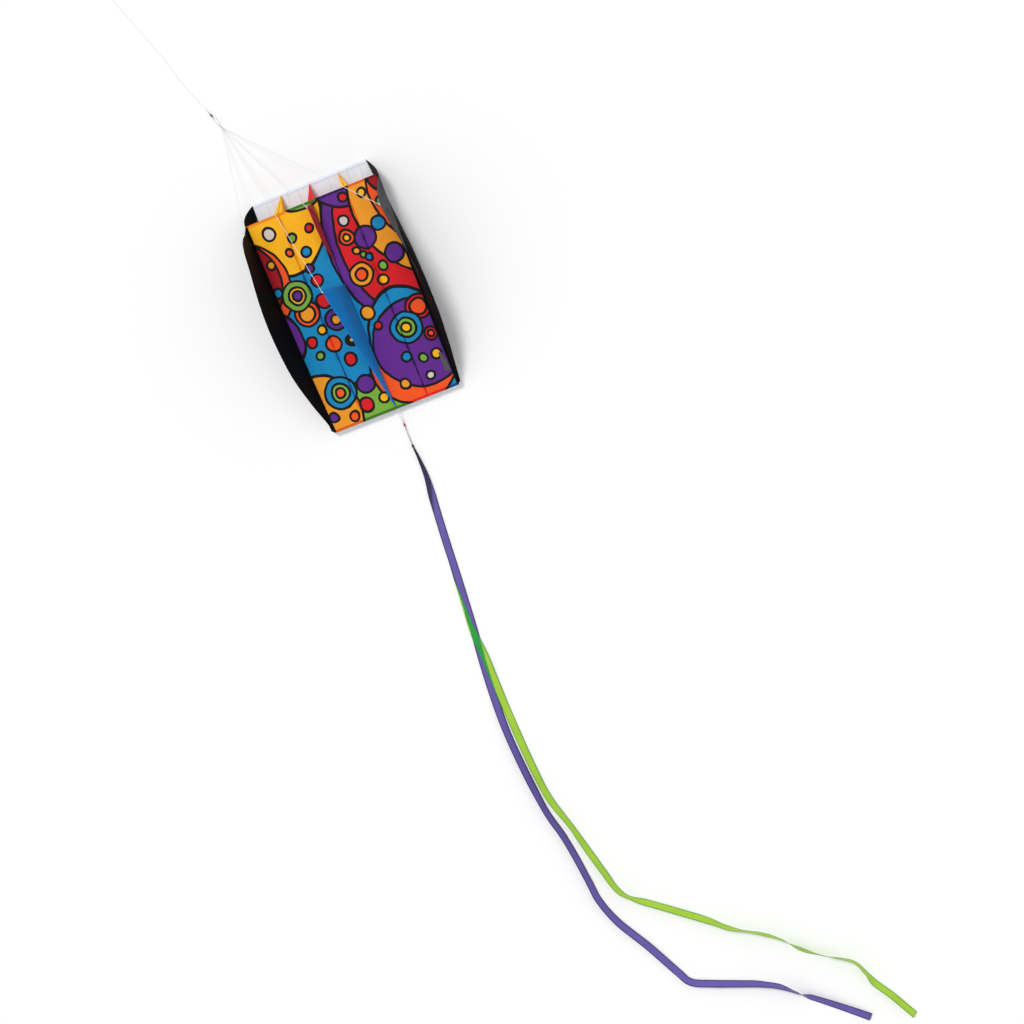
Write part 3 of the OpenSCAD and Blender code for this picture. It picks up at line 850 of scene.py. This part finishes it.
make_bridle()
make_line()
leader, leader_points = make_tail_cords()


# Cloth pieces

def grid_normals(points):
    """Unit normals of a grid of points."""
    down = np.gradient(points, axis=0)
    across = np.gradient(points, axis=1)
    normals = np.cross(across, down)
    return normals / np.maximum(np.linalg.norm(normals, axis=2, keepdims=True), 1e-9)


def run_lengths(points, axis):
    """Distance along each line of a grid from its first point, in millimetres."""
    gaps = np.linalg.norm(np.diff(points, axis=axis), axis=2)
    start = np.zeros_like(gaps.take([0], axis=axis))
    return np.concatenate([start, np.cumsum(gaps, axis=axis)], axis=axis)


def sheet_faces(rows, cols):
    """Faces of a closed sheet, whose vertices are the grid of one side and then that of the other."""
    count = rows * cols
    at = np.arange(count).reshape(rows, cols).tolist()
    faces = []
    for r in range(rows - 1):
        for c in range(cols - 1):
            quad = (at[r][c], at[r][c + 1], at[r + 1][c + 1], at[r + 1][c])
            faces += [quad[::-1], tuple(count + i for i in quad)]
    border = at[0] + [row[-1] for row in at[1:]] + at[-1][-2::-1] + [row[0] for row in at[-2:0:-1]]
    for a, b in zip(border, border[1:] + border[:1]):
        faces.append((a, b, count + b, count + a))
    return faces


def mark_flat_cut(mesh, flat):
    """Gives both sides of a closed sheet their place on its flat cut, in metres."""
    layer = mesh.uv_layers.new(name="Cloth")
    index = np.empty(len(mesh.loops), int)
    mesh.loops.foreach_get("vertex_index", index)
    layer.data.foreach_set("uv", flat[index % len(flat)].ravel().astype(np.float32))


def turn_faces_outwards(mesh):
    shape = bmesh.new()
    shape.from_mesh(mesh)
    bmesh.ops.recalc_face_normals(shape, faces=shape.faces)
    shape.to_mesh(mesh)
    shape.free()


HEM_FOLD = 0.6  # over how many millimetres a hem's thickness begins


def cloth_piece(name, grid, material, hems="", thickness=SHEET_T, hem=HEM, body=CANOPY, stands_for_node=True):
    """Thin closed sheet through a grid of points, with folded hems at the edges named in hems:
    f and l are the first and last row, s and e the start and end of each row."""
    points = np.array([[tuple(p) for p in row] for row in grid], float)
    rows, cols = points.shape[:2]
    along = run_lengths(points, 0)
    across = run_lengths(points, 1)
    edge = {"f": along, "l": along[-1] - along, "s": across, "e": across[:, -1:] - across}
    folded = np.zeros((rows, cols))
    for key in hems:
        folded = np.maximum(folded, np.clip((hem - edge[key]) / HEM_FOLD + 0.5, 0, 1))
    half = grid_normals(points) * (thickness / 2 * (1 + 2 * folded))[:, :, None]
    both = np.concatenate([(points + half).reshape(-1, 3), (points - half).reshape(-1, 3)])
    mesh = bpy.data.meshes.new(name)
    mesh.from_pydata((both * MM).tolist(), [], sheet_faces(rows, cols))
    from_middle = across - across[:, cols // 2, None]
    mark_flat_cut(mesh, np.stack([from_middle.ravel(), along.ravel()], axis=1) * MM)
    turn_faces_outwards(mesh)
    for polygon in mesh.polygons:
        polygon.use_smooth = True
    piece = add_piece(name, mesh, material, body, stands_for_node)
    return piece


STITCH_PITCH = 3.0
STITCH_LENGTH = 2.2
STITCH_WIDTH = 0.42
STITCH_HEIGHT = 0.28
STITCH_START = 0.3


def stitches_along(line):
    """Start, end and normal of each stitch along a list of (point, normal) pairs."""
    spots = [p for p, _ in line]
    ups = [n for _, n in line]
    travelled = [0.0]
    for a, b in zip(spots, spots[1:]):
        travelled.append(travelled[-1] + (b - a).length)

    def spot(distance):
        i = min(len(spots) - 2, max(n for n in range(len(spots)) if travelled[n] <= distance + 1e-9))
        share = (distance - travelled[i]) / max(1e-9, travelled[i + 1] - travelled[i])
        return mix(spots[i], spots[i + 1], share), mix(ups[i], ups[i + 1], share)

    for n in range(int((travelled[-1] - STITCH_LENGTH) / STITCH_PITCH)):
        start, _ = spot(n * STITCH_PITCH + STITCH_START)
        end, up = spot(n * STITCH_PITCH + STITCH_START + STITCH_LENGTH)
        yield start, end, up


def stitch_piece(name, lines, thread):
    """Row of stitches along each line. A line is a list of (point, normal) pairs in millimetres."""
    verts = []
    faces = []
    for line in lines:
        for start, end, up in stitches_along(line):
            side = (end - start).normalized().cross(up).normalized() * STITCH_WIDTH / 2
            top = up * STITCH_HEIGHT
            first = len(verts)
            verts += [start, end]
            for share in (0.25, 0.75):
                middle = mix(start, end, share)
                verts += [middle + side, middle + top, middle - side, middle - 0.3 * top]
            near = first + 2
            far = first + 6
            for i in range(4):
                j = (i + 1) % 4
                faces += [(first, near + j, near + i), (first + 1, far + i, far + j),
                          (near + i, near + j, far + j, far + i)]
    mesh = bpy.data.meshes.new(name)
    mesh.from_pydata([tuple(v * MM) for v in verts], [], faces)
    return add_piece(name, mesh, thread, CANOPY, False)


def with_hems(stations, length):
    """Stations with extra ones where the hem at each end is folded, so that the step is crisp."""
    ends = ((stations[0], 1), (stations[-1], -1))
    extra = [here + sign * (HEM + gap) / length for here, sign in ends for gap in (-0.3, 0.3)]
    return sorted(stations + extra)


SEAMS = (-1, -0.5, 0, 0.5, 1)
SEAM_STEEPNESS = 0.6
HEM_STITCHES = HEM - 1.2
EDGE_STITCHES = 1.5
GATHER_PITCH = 15
GATHER_DEPTH = 0.5
BELLY_SLACK = 1.6
BELLY_CREASES = 0.9


def belly_slack(k, u):
    """Small gathers along the seams and broad slack between them, in millimetres."""
    y = k * BELLY_CHORD
    x = u * belly_half(k)
    calm = rise(k, 0.0, 0.12)
    gathers = 0.0
    for seam in SEAMS:
        away = abs(u - seam) * belly_half(k)
        ripple = math.sin(2 * math.pi * (y / GATHER_PITCH + 0.7 * drift(seam * 9, y / 38, 2.0)))
        gathers += GATHER_DEPTH * math.exp(-away / 10) * (1 - math.exp(-away / 2)) * ripple
    broad = BELLY_SLACK * drift(x / 46, y / 95, 5.0) * cell(u)
    crease = BELLY_CREASES * drift(x / 15 + y / 60, y / 70, 9.0) * cell(u)
    return calm * (gathers + broad + crease)


def belly_skin(k, u):
    """Middle of the belly cloth, which turns down steeply at each seam."""
    full = billow(k) * (cell(u) ** SEAM_STEEPNESS - cell(u))
    return belly_at(k, u) + (CLOTH_T / 2 + full + belly_slack(k, u)) * UP


def back_slack(k, u):
    """How far the loose ends of the back cloth stand off the CAD surface, in millimetres."""
    y = k * BACK_CHORD
    x = u * back_half(k)
    return 0.5 * (0.5 + 0.5 * drift(x / 40, y / 60, 1.0)) * rise(abs(k - 0.5), 0.3, 0.45)


BACK_CREASES = (-118, -62, -34, 46, 96, 128)
BACK_CREASE_HEIGHT = 2.4
BACK_CREASE_WIDTH = 2.0


def back_crease(k, u):
    """Small folds that run back from the leading edge, in millimetres."""
    x = u * back_half(k) + 9 * (1 - k) * BACK_CHORD / 100
    ridge = sum(math.exp(-((x - at) / BACK_CREASE_WIDTH) ** 2) for at in BACK_CREASES)
    return BACK_CREASE_HEIGHT * ridge * rise(k, 0.72, 0.92)


def back_skin(k, u):
    """Middle of the back cloth, which lies on the floor along its flat stretch."""
    return back_at(k, u) + (1.5 * SHEET_T + back_slack(k, u) + back_crease(k, u)) * UP


def make_belly():
    rows = []
    for seam in (-0.5, 0, 0.5):
        for gap in (-SEAM_FOLD, SEAM_FOLD):
            rows.append([(belly_skin(k, seam + gap / belly_half(k)) + SHEET_T / 2 * UP, UP)
                         for k in steps(0.012, 0.985, 200)])
    hem = HEM_STITCHES / BELLY_CHORD
    for k in (hem, 1 - hem, 1 - EDGE_STITCHES / BELLY_CHORD):
        rows.append([(belly_skin(k, u) + 1.5 * SHEET_T * UP, UP) for u in steps(-0.97, 0.97, 120)])
    threads = stitch_piece("stitches_belly", rows, dark_thread)
    grid = [[belly_skin(k, u) for u in steps(-1, 1, 104)] for k in with_hems(steps(0, 1, 170), BELLY_CHORD)]
    cloth_piece("belly_panel", grid, belly_cloth, hems="fl")


def make_back():
    rows = []
    for gap in (EDGE_STITCHES, HEM_STITCHES):
        k = 1 - gap / BACK_CHORD
        rows.append([(back_skin(k, u) + 1.5 * SHEET_T * UP, UP) for u in steps(-0.98, 0.98, 90)])
    threads = stitch_piece("stitches_back", rows, pale_thread)
    grid = [[back_skin(k, u) for u in steps(-1, 1, 150)] for k in with_hems(steps(0, 1, 110), BACK_CHORD)]
    cloth_piece("back_panel", grid, lavender_cloth, hems="fl")


RIB_NOSE = 0.997
RIB_SAG = 1.5
RIB_FOOT = 2.2 * SHEET_T
RIB_HEAD_GAP = 0.4
PLY_GAP = 0.2
RIBS = {
    # place across the canopy, how far the plies part at the nose, cloth
    "rib_left": (-0.5, 12, yellow_cloth),
    "rib_centre": (0, 9.5, red_cloth),
    "rib_right": (0.5, 8, yellow_cloth),
}


def make_ribs():
    """Each rib is cut double at its nose. Its two plies part towards the belly seam, and a flat fold
    closes them."""
    rows = [(k, rise(k, 0.72, 1.0)) for k in steps(0.03, RIB_NOSE, 60)]
    rows += [(RIB_NOSE, parting) for parting in (0.95, 0.6, 0.3, 0.02)]
    plies = [(-1, v) for v in steps(1, 0, 7)] + [(1, v) for v in steps(0, 1, 7)[1:]]
    for name, (u, opening, material) in RIBS.items():
        grid = []
        for k, parting in rows:
            foot = back_skin(k, u) + RIB_FOOT * UP
            head = belly_at(k, u) - RIB_HEAD_GAP * UP
            row = []
            for side, v in plies:
                sag = RIB_SAG * drift(k * 14, v * 2, 3 + u) * math.sin(math.pi * v)
                aside = side * (PLY_GAP + opening * parting * v ** 1.2) + sag
                row.append(mix(foot, head, v) + aside * RIGHT)
            grid.append(row)
        cloth_piece(name, grid, material)


WALL_GAP = 0.4
WALL_SLACK = 1.4
LIP_BULGES = {"left": 11, "right": 4}  # how far the free front edge of each end wall stands out


def make_walls():
    for which, (side, *_) in FLARES.items():
        grid = []
        for k in steps(0.01, 1, 80):
            foot = back_skin(k, side)
            head = seam_at(k, side)
            bulge = WALL_BULGE * math.sin(math.pi * min(1, k + BULGE_LEAD))
            bulge += LIP_BULGES[which] * rise(k, 0.8, 1.0)
            row = []
            for v in steps(0, 1, 12):
                slack = WALL_SLACK * drift(k * 9, v * 1.6, 4 + side)
                out = WALL_GAP + (bulge + slack) * math.sin(math.pi * v)
                row.append(mix(foot, head, v) + side * out * RIGHT)
            grid.append(row)
        cloth_piece("side_wall_" + which, grid, black_cloth)


FOLD_HEIGHT = 2.0
FOLD_FADE = 75
FLARE_SLACK = 2.2
EDGE_HEM = 6.0
EDGE_HEM_STITCHES = 4.5


def fold_pull(point, tip, count, seed):
    """Folds that run out from a tip where a cord pulls, in millimetres."""
    away = point - tip
    distance = math.hypot(away.y, away.z)
    angle = math.atan2(away.y, -away.z + 1e-6)
    wave = math.sin(count * angle + seed) + 0.5 * math.sin(2.3 * count * angle + 2 * seed)
    return wave * FOLD_HEIGHT * math.exp(-distance / FOLD_FADE) * rise(distance, 2, 26)


def flare_skin(which, k, v):
    """Middle of a flare's cloth."""
    side = FLARES[which][0]
    point = flare_at(which, k, v)
    pull = fold_pull(point, TIPS["flare_" + which], 5, 1.3 + side)
    soft = FLARE_SLACK * drift(k * 6.5, v * 1.7, 11 + side) * math.sin(math.pi * min(1, v * 0.8))
    return point + (side * CLOTH_T / 2 + rise(v, 0.0, 0.22) * (pull + soft)) * RIGHT


def make_flares():
    # The right flare's cloth carries painted sheen.
    cloths = {"left": black_cloth, "right": sheen_painted_cloth}
    for which, (side, *_) in FLARES.items():
        name = "flare_" + which
        grid = [[flare_skin(which, k, v) for v in steps(0, 1, 22)] for k in steps(0.006, 0.994, 110)]
        edge = []
        for k in steps(0.06, 0.97, 160):
            v = max(0.0, 1 - EDGE_HEM_STITCHES / flare_height(k))
            edge.append((flare_skin(which, k, v) + 1.5 * SHEET_T * side * RIGHT, side * RIGHT))
        threads = stitch_piece("stitches_" + name, [edge], black_thread)
        cloth_piece(name, grid, cloths[which], hems="e", hem=EDGE_HEM)


KEEL_SLACK = 1.6
KEEL_FULL_HEIGHT = 80  # height from which a keel bows by its whole bow
KEELS = {
    # surface, first and last station, how far the top's front end lies behind the foot's, bow, seed, cloth
    "front_keel": (front_keel_at, FRONT_KEEL_REAR, 0.996, 0.03, 4.0, 21.0, keel_red_cloth),
    "rear_keel": (rear_keel_at, 0.006, REAR_KEEL_FRONT, 0.0, 9.0, 33.0, keel_blue_cloth),
}


def keel_skin(name, share, v):
    """Middle of a keel's cloth, at a share of its length and a share v of its height."""
    at, first, last, rake, bow, seed, _ = KEELS[name]
    k = mix(first, last - rake * v, share)
    point = at(k, v)
    height = (point - at(k, 0)).length
    pull = fold_pull(point, TIPS[name], 4, seed)
    soft = KEEL_SLACK * drift(k * 8, v * 1.8, seed) * math.sin(math.pi * min(1, v * 0.85))
    full = bow * math.sin(math.pi * v ** 0.8) * min(1, height / KEEL_FULL_HEIGHT)
    return point + (rise(v, 0.0, 0.25) * (pull + soft) + full) * RIGHT


def make_keels():
    for name, (_, first, last, _, _, _, material) in KEELS.items():
        grid = [[keel_skin(name, share, v) for v in steps(0, 1, 20)] for share in steps(0, 1, 70)]
        lines = []
        front = 1 - EDGE_HEM_STITCHES / BELLY_CHORD / (last - first)
        for side in (-RIGHT, RIGHT):
            off = 1.5 * SHEET_T * side
            top = [(keel_skin(name, share, 0.93) + off, side) for share in steps(0.12, 0.98, 80)]
            nose = [(keel_skin(name, front, v) + off, side) for v in steps(0.05, 0.95, 20)]
            lines += [top, nose]
        threads = stitch_piece("stitches_" + name, lines, black_thread)
        cloth_piece(name, grid, material, hems="le", hem=EDGE_HEM)


TAPE_REACH = 5.0
TAPE_RISE = 3.5
TAPE_STITCHES = 3.8
TAPE_LIFT = 0.5


def make_bindings():
    """Black tape folded over each side seam, where belly, wall and flare meet."""
    for which, (side, *_) in FLARES.items():
        name = "binding_" + which
        grid = []
        for k in steps(0.004, 0.998, 130):
            seam = seam_at(k, side)
            up = min(TAPE_RISE, 0.8 * flare_height(k))
            inner = belly_skin(k, side * (1 - TAPE_REACH / belly_half(k)))
            middle = belly_skin(k, side * (1 - 1.2 / belly_half(k)))
            tall = seam + leaning(side * flare_lean(which, k), up) - side * 0.35 * RIGHT
            corner = seam + Vector((-side * 0.55, 0, 0.35))
            grid.append([inner + 0.42 * UP, mix(inner, middle, 0.5) + TAPE_LIFT * UP,
                         middle + TAPE_LIFT * UP, corner, mix(corner, tall, 0.5), tall])
        cloth_piece(name, grid, black_cloth, thickness=0.35, stands_for_node=False)
        line = [(belly_skin(k, side * (1 - TAPE_STITCHES / belly_half(k))) + 0.66 * UP, UP)
                for k in steps(0.01, 0.99, 190)]
        stitch_piece("stitches_" + name, [line], black_thread)


def make_tag():
    """Blank woven tag by the right side seam, with its end folded under."""
    first = 0.885
    last = 0.96
    grid = []
    for k in steps(0.075, 0.165, 24):
        grid.append([seam_at(k, u) + (0.25 + 1.1 * rise(last - u, 0.02, 0.08) + belly_slack(k, u)) * UP
                     for u in steps(first, last, 10)])
    cloth_piece("label_tag", grid, tag_cloth, thickness=0.3)


make_back()
make_belly()
make_ribs()
make_walls()
make_flares()
make_keels()
make_bindings()
make_tag()


# Metal nodes keep their CAD shapes and get their finish

def finish_node(node, material):
    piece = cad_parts[node]
    piece.data.materials.clear()
    piece.data.materials.append(material)


for node in ("snap_hook", "snap_gate", "swivel_eye_snap", "swivel_eye_line"):
    finish_node(node, steel)
finish_node("swivel_barrel", dark_brass)
finish_node("tail_barrel", red_metal)
for node in ("tail_eye_front", "tail_eye_rear"):
    finish_node(node, pink_wire)


# Ribbon tails

RIBBON_W = 19.0
RIBBON_T = 0.25
RIBBON_COLUMNS = 24
GATHER_LENGTH = 130.0
ARCH = 7.0  # how far the loose ends rise off the floor between the places where they touch it
KNOT_WIDTH = 2.6
PLEAT_DEPTH = 1.1
CUP_DEPTH = 0.9
ROLL_WANDER = 5.0
PURPLE_ROUTE = [
    (0, -396), (3, -430), (4, -480), (-2, -541), (-9, -632), (-16, -740),
    (-25, -860), (-35, -960), (-41, -1060), (-41, -1150), (-34, -1250), (-22, -1349),
    (-5, -1419), (6, -1485), (14, -1551), (20, -1601), (45, -1668), (93, -1749),
    (138, -1835), (158, -1865), (200, -1884), (270, -1909), (315, -1925), (359, -1947),
    (399, -1981), (460, -2028), (539, -2093),
]
GREEN_ROUTE = [
    (0, -396), (3, -430), (4, -480), (-2, -541), (-9, -632), (-13, -690),
    (-18, -745), (-23, -805), (-28, -860), (-28, -895), (-24, -940), (-23, -1003), (-22, -1067),
    (-18, -1162), (-11, -1259), (-2, -1325), (21, -1398), (38, -1467), (57, -1537),
    (72, -1590), (96, -1620), (135, -1649), (197, -1693), (257, -1739), (297, -1772),
    (362, -1808), (403, -1838), (440, -1878), (480, -1907), (545, -1946), (566, -1982),
    (578, -2015), (605, -2056), (641, -2121),
]

# How each ribbon turns about its own length: (y along the floor, degrees). At 90 it stands on its edge.
PURPLE_ROLL = [
    (-399, 0), (-1010, 4), (-1150, 30), (-1280, 36), (-1340, 46), (-1420, 42), (-1500, 40), (-1620, 38),
    (-1720, 22), (-1830, 14), (-1870, 34), (-1915, 40), (-1940, 62), (-1974, 90), (-2000, 148), (-2098, 176),
]
GREEN_ROLL = [
    (-399, 0), (-1010, 0), (-1100, 12), (-1230, 32), (-1310, 42), (-1390, 56), (-1480, 44), (-1545, 48),
    (-1592, 58), (-1616, 78), (-1645, 42), (-1720, 42), (-1765, 66), (-1790, 90), (-1812, 80), (-1836, 90),
    (-1880, 130), (-1910, 108), (-1928, 90), (-1950, 84), (-1984, 76), (-2018, 40), (-2125, 38),
]


def keyed(pairs, y):
    """Value at y along a list of (y, value) pairs whose y falls, easing from each pair to the next."""
    value = pairs[0][1]
    for (start, before), (end, after) in zip(pairs, pairs[1:]):
        if y < start:
            value = mix(before, after, rise(start - y, 0, start - end))
    return value


def purple_level(y):
    """The purple ribbon lies over the green one at first, then on the floor."""
    return 0.9 * rise(y, -920, -880) + 1.6 * rise(y, -600, -480)


# Between these places along the floor, the green ribbon is folded round the purple one's left edge:
# it comes from below it, and more and more of it lies on top.
FOLD_START_Y = -728
FOLD_END_Y = -892
FOLD_TOP = 2.6
FOLD_ROUND = 1.3


def green_level(y):
    """On top of the purple ribbon after the fold, then down to the floor beside it."""
    return FOLD_TOP * rise(-y, -FOLD_START_Y, -FOLD_START_Y + 1) * (1 - rise(-y, 1000, 1080))


def folded_section(share, width, y):
    """Place across and up of a point of the green ribbon's section while it is folded over."""
    turned = min(1, max(0, (y - FOLD_START_Y) / (FOLD_END_Y - FOLD_START_Y)))
    past_fold = (2 * turned - 1 - share) * width
    top = rise(past_fold, -FOLD_ROUND, FOLD_ROUND)
    return width - max(abs(past_fold), FOLD_ROUND * 0.4), mix(0.4, FOLD_TOP, top)


# How far from the knot the painted shade of the bunched folds reaches, in millimetres.
GATHERED_TO = 135.0


def ribbon_material(name, main, edge, gathered_shade=None, overlap_shade=None):
    """Ribbon with darker heat-cut edges.

    Near the knot, where it is bunched up, it takes a painted shade colour on its folds; where it lies over
    another ribbon, a second painted shade colour stands in for that ribbon showing through.
    """
    paint = Paint(name, Sheen_Weight=0.12, Sheen_Roughness=0.4, Specular_IOR_Level=0.25)
    flat = paint.cloth_place()
    u, v, _ = paint.split(flat)
    rim = paint.ramp(paint.math("ABSOLUTE", u), RIBBON_W / 2 - 2.6, RIBBON_W / 2 - 1.7)
    tone = paint.mix(rim, main, edge)
    if gathered_shade:
        # Painted shade on the folds bunched up at the knot.
        short_of = paint.math("SUBTRACT", paint.math("MULTIPLY_ADD", u, 4.5, GATHERED_TO), v)
        tone = paint.mix(paint.ramp(short_of, -18.0, 18.0), tone, gathered_shade)
    if overlap_shade:
        # Painted shade where the ribbon lies over the other one.
        over = paint.node("Attribute", attribute_name="OverlapShade").outputs["Fac"]
        tone = paint.mix(over, tone, overlap_shade)
    return finish_cloth(paint, tone, flat)


def mark_overlap_shade(piece, under):
    """Marks the points of a piece that lie over a ribbon whose centre line is given, in millimetres, where
    that piece gets painted shade.
    """
    line = np.array([(p.x, p.y) for p in under])
    values = []
    for vertex in piece.data.vertices:
        here = np.array(vertex.co[:2]) / MM
        away = float(np.hypot(*(line - here).T).min())
        values.append(1 - rise(away, RIBBON_W / 2 - 0.6, RIBBON_W / 2 + 0.6))
    attribute = piece.data.attributes.new("OverlapShade", "FLOAT", "POINT")
    attribute.data.foreach_set("value", values)


def make_ribbon(name, route, rolls, level, material, body, seed, over=None):
    """Ribbon along the floor. over is the centre line of a ribbon that it is folded over."""
    points = smooth_route([(x, y, 0) for x, y in route], 10)
    travelled = 0.0
    grid = []
    for i, point in enumerate(points):
        if i:
            travelled += (point - points[i - 1]).length
        way = (points[min(len(points) - 1, i + 1)] - points[max(0, i - 1)]).normalized()
        side = Vector((way.y, -way.x, 0))
        gather = min(1, travelled / GATHER_LENGTH)
        width = mix(KNOT_WIDTH, RIBBON_W, gather) / 2
        folded = over and point.y > FOLD_END_Y
        roll = math.radians(keyed(rolls, point.y) + ROLL_WANDER * drift(travelled / 90, seed, 0) * gather)
        cup = CUP_DEPTH * drift(travelled / 60, seed + 9, 0)
        pleat = PLEAT_DEPTH * (1 - gather)
        wave = ARCH * (0.5 + 0.5 * drift(travelled / 110, seed + 5, 0)) * rise(travelled, 700, 900)
        lift = level(point.y) + width * abs(math.sin(roll)) + wave + abs(cup) + pleat + 0.4
        row = []
        for share in steps(-1, 1, RIBBON_COLUMNS):
            bend = cup * (1 - share * share) + pleat * math.cos(math.pi * 2 * share)
            across = share * width * math.cos(roll) - bend * math.sin(roll)
            up = lift + share * width * math.sin(roll) + bend * math.cos(roll)
            if folded:
                across, up = folded_section(share, width * mix(0.6, 1, gather), point.y)
            row.append(point + side * across + up * UP)
        grid.append(row)
    piece = cloth_piece(name, grid, material, hems="sel", hem=1.2, thickness=RIBBON_T, body=body)
    if over:
        mark_overlap_shade(piece, over)
    return points


# Its darker purple near the knot is painted shade on the folds.
purple_ribbon = ribbon_material("purple ribbon", srgb(101, 86, 162), srgb(44, 34, 92),
                                gathered_shade=srgb(48, 42, 78))
# Its deeper green over the purple ribbon is painted shade.
green_ribbon = ribbon_material("lime ribbon", srgb(161, 199, 58), srgb(84, 164, 56),
                               overlap_shade=srgb(38, 150, 62))
purple_line = make_ribbon("ribbon_purple", PURPLE_ROUTE, PURPLE_ROLL, purple_level, purple_ribbon,
                          "purple_tail", 1.0)
make_ribbon("ribbon_green", GREEN_ROUTE, GREEN_ROLL, green_level, green_ribbon,
            "green_tail", 40.0, purple_line)

tail_knot = curve_piece("tail_knot", knot_points(TAIL_KNOT_AT, FORWARD, 2.8), 1.0, purple_ribbon,
                        closed=True, body="tail_cord")
route_length(leader_points) * MM


# Floor and light

FLOOR_Z = -0.0004


def make_floor():
    mesh = bpy.data.meshes.new("floor")
    shape = bmesh.new()
    bmesh.ops.create_grid(shape, x_segments=8, y_segments=8, size=14)
    shape.to_mesh(mesh)
    shape.free()
    paint = Paint("pale floor", Specular_IOR_Level=0.0)
    grain = paint.noise(paint.place(), 900.0)
    paint.surface(paint.mix(grain, (0.925, 0.925, 0.928, 1), (0.935, 0.935, 0.935, 1)), 0.9)
    mesh.materials.append(paint.material)
    floor = add_object("floor", mesh)
    floor.location.z = FLOOR_Z


SKY_STRENGTH = 0.69
KEY_STRENGTH = 1.42
KEY_ELEVATION = math.radians(62)
KEY_WIDTH = math.radians(16)


def make_light():
    """White surroundings, and a wide soft key light from above, on the picture's upper left."""
    world = bpy.data.worlds.new("studio")
    world.use_nodes = True
    background = world.node_tree.nodes["Background"]
    background.inputs[0].default_value = (1, 1, 1, 1)
    background.inputs[1].default_value = SKY_STRENGTH
    bpy.context.scene.world = world
    data = bpy.data.lights.new("key", "SUN")
    data.energy = KEY_STRENGTH
    data.angle = KEY_WIDTH
    key = add_object("key", data)
    level = (image_up - 0.75 * image_right).normalized()
    towards = math.cos(KEY_ELEVATION) * level + math.sin(KEY_ELEVATION) * UP
    key.rotation_euler = towards.to_track_quat("Z", "Y").to_euler()
    bpy.context.scene.view_settings.view_transform = "Standard"


make_floor()
make_light()
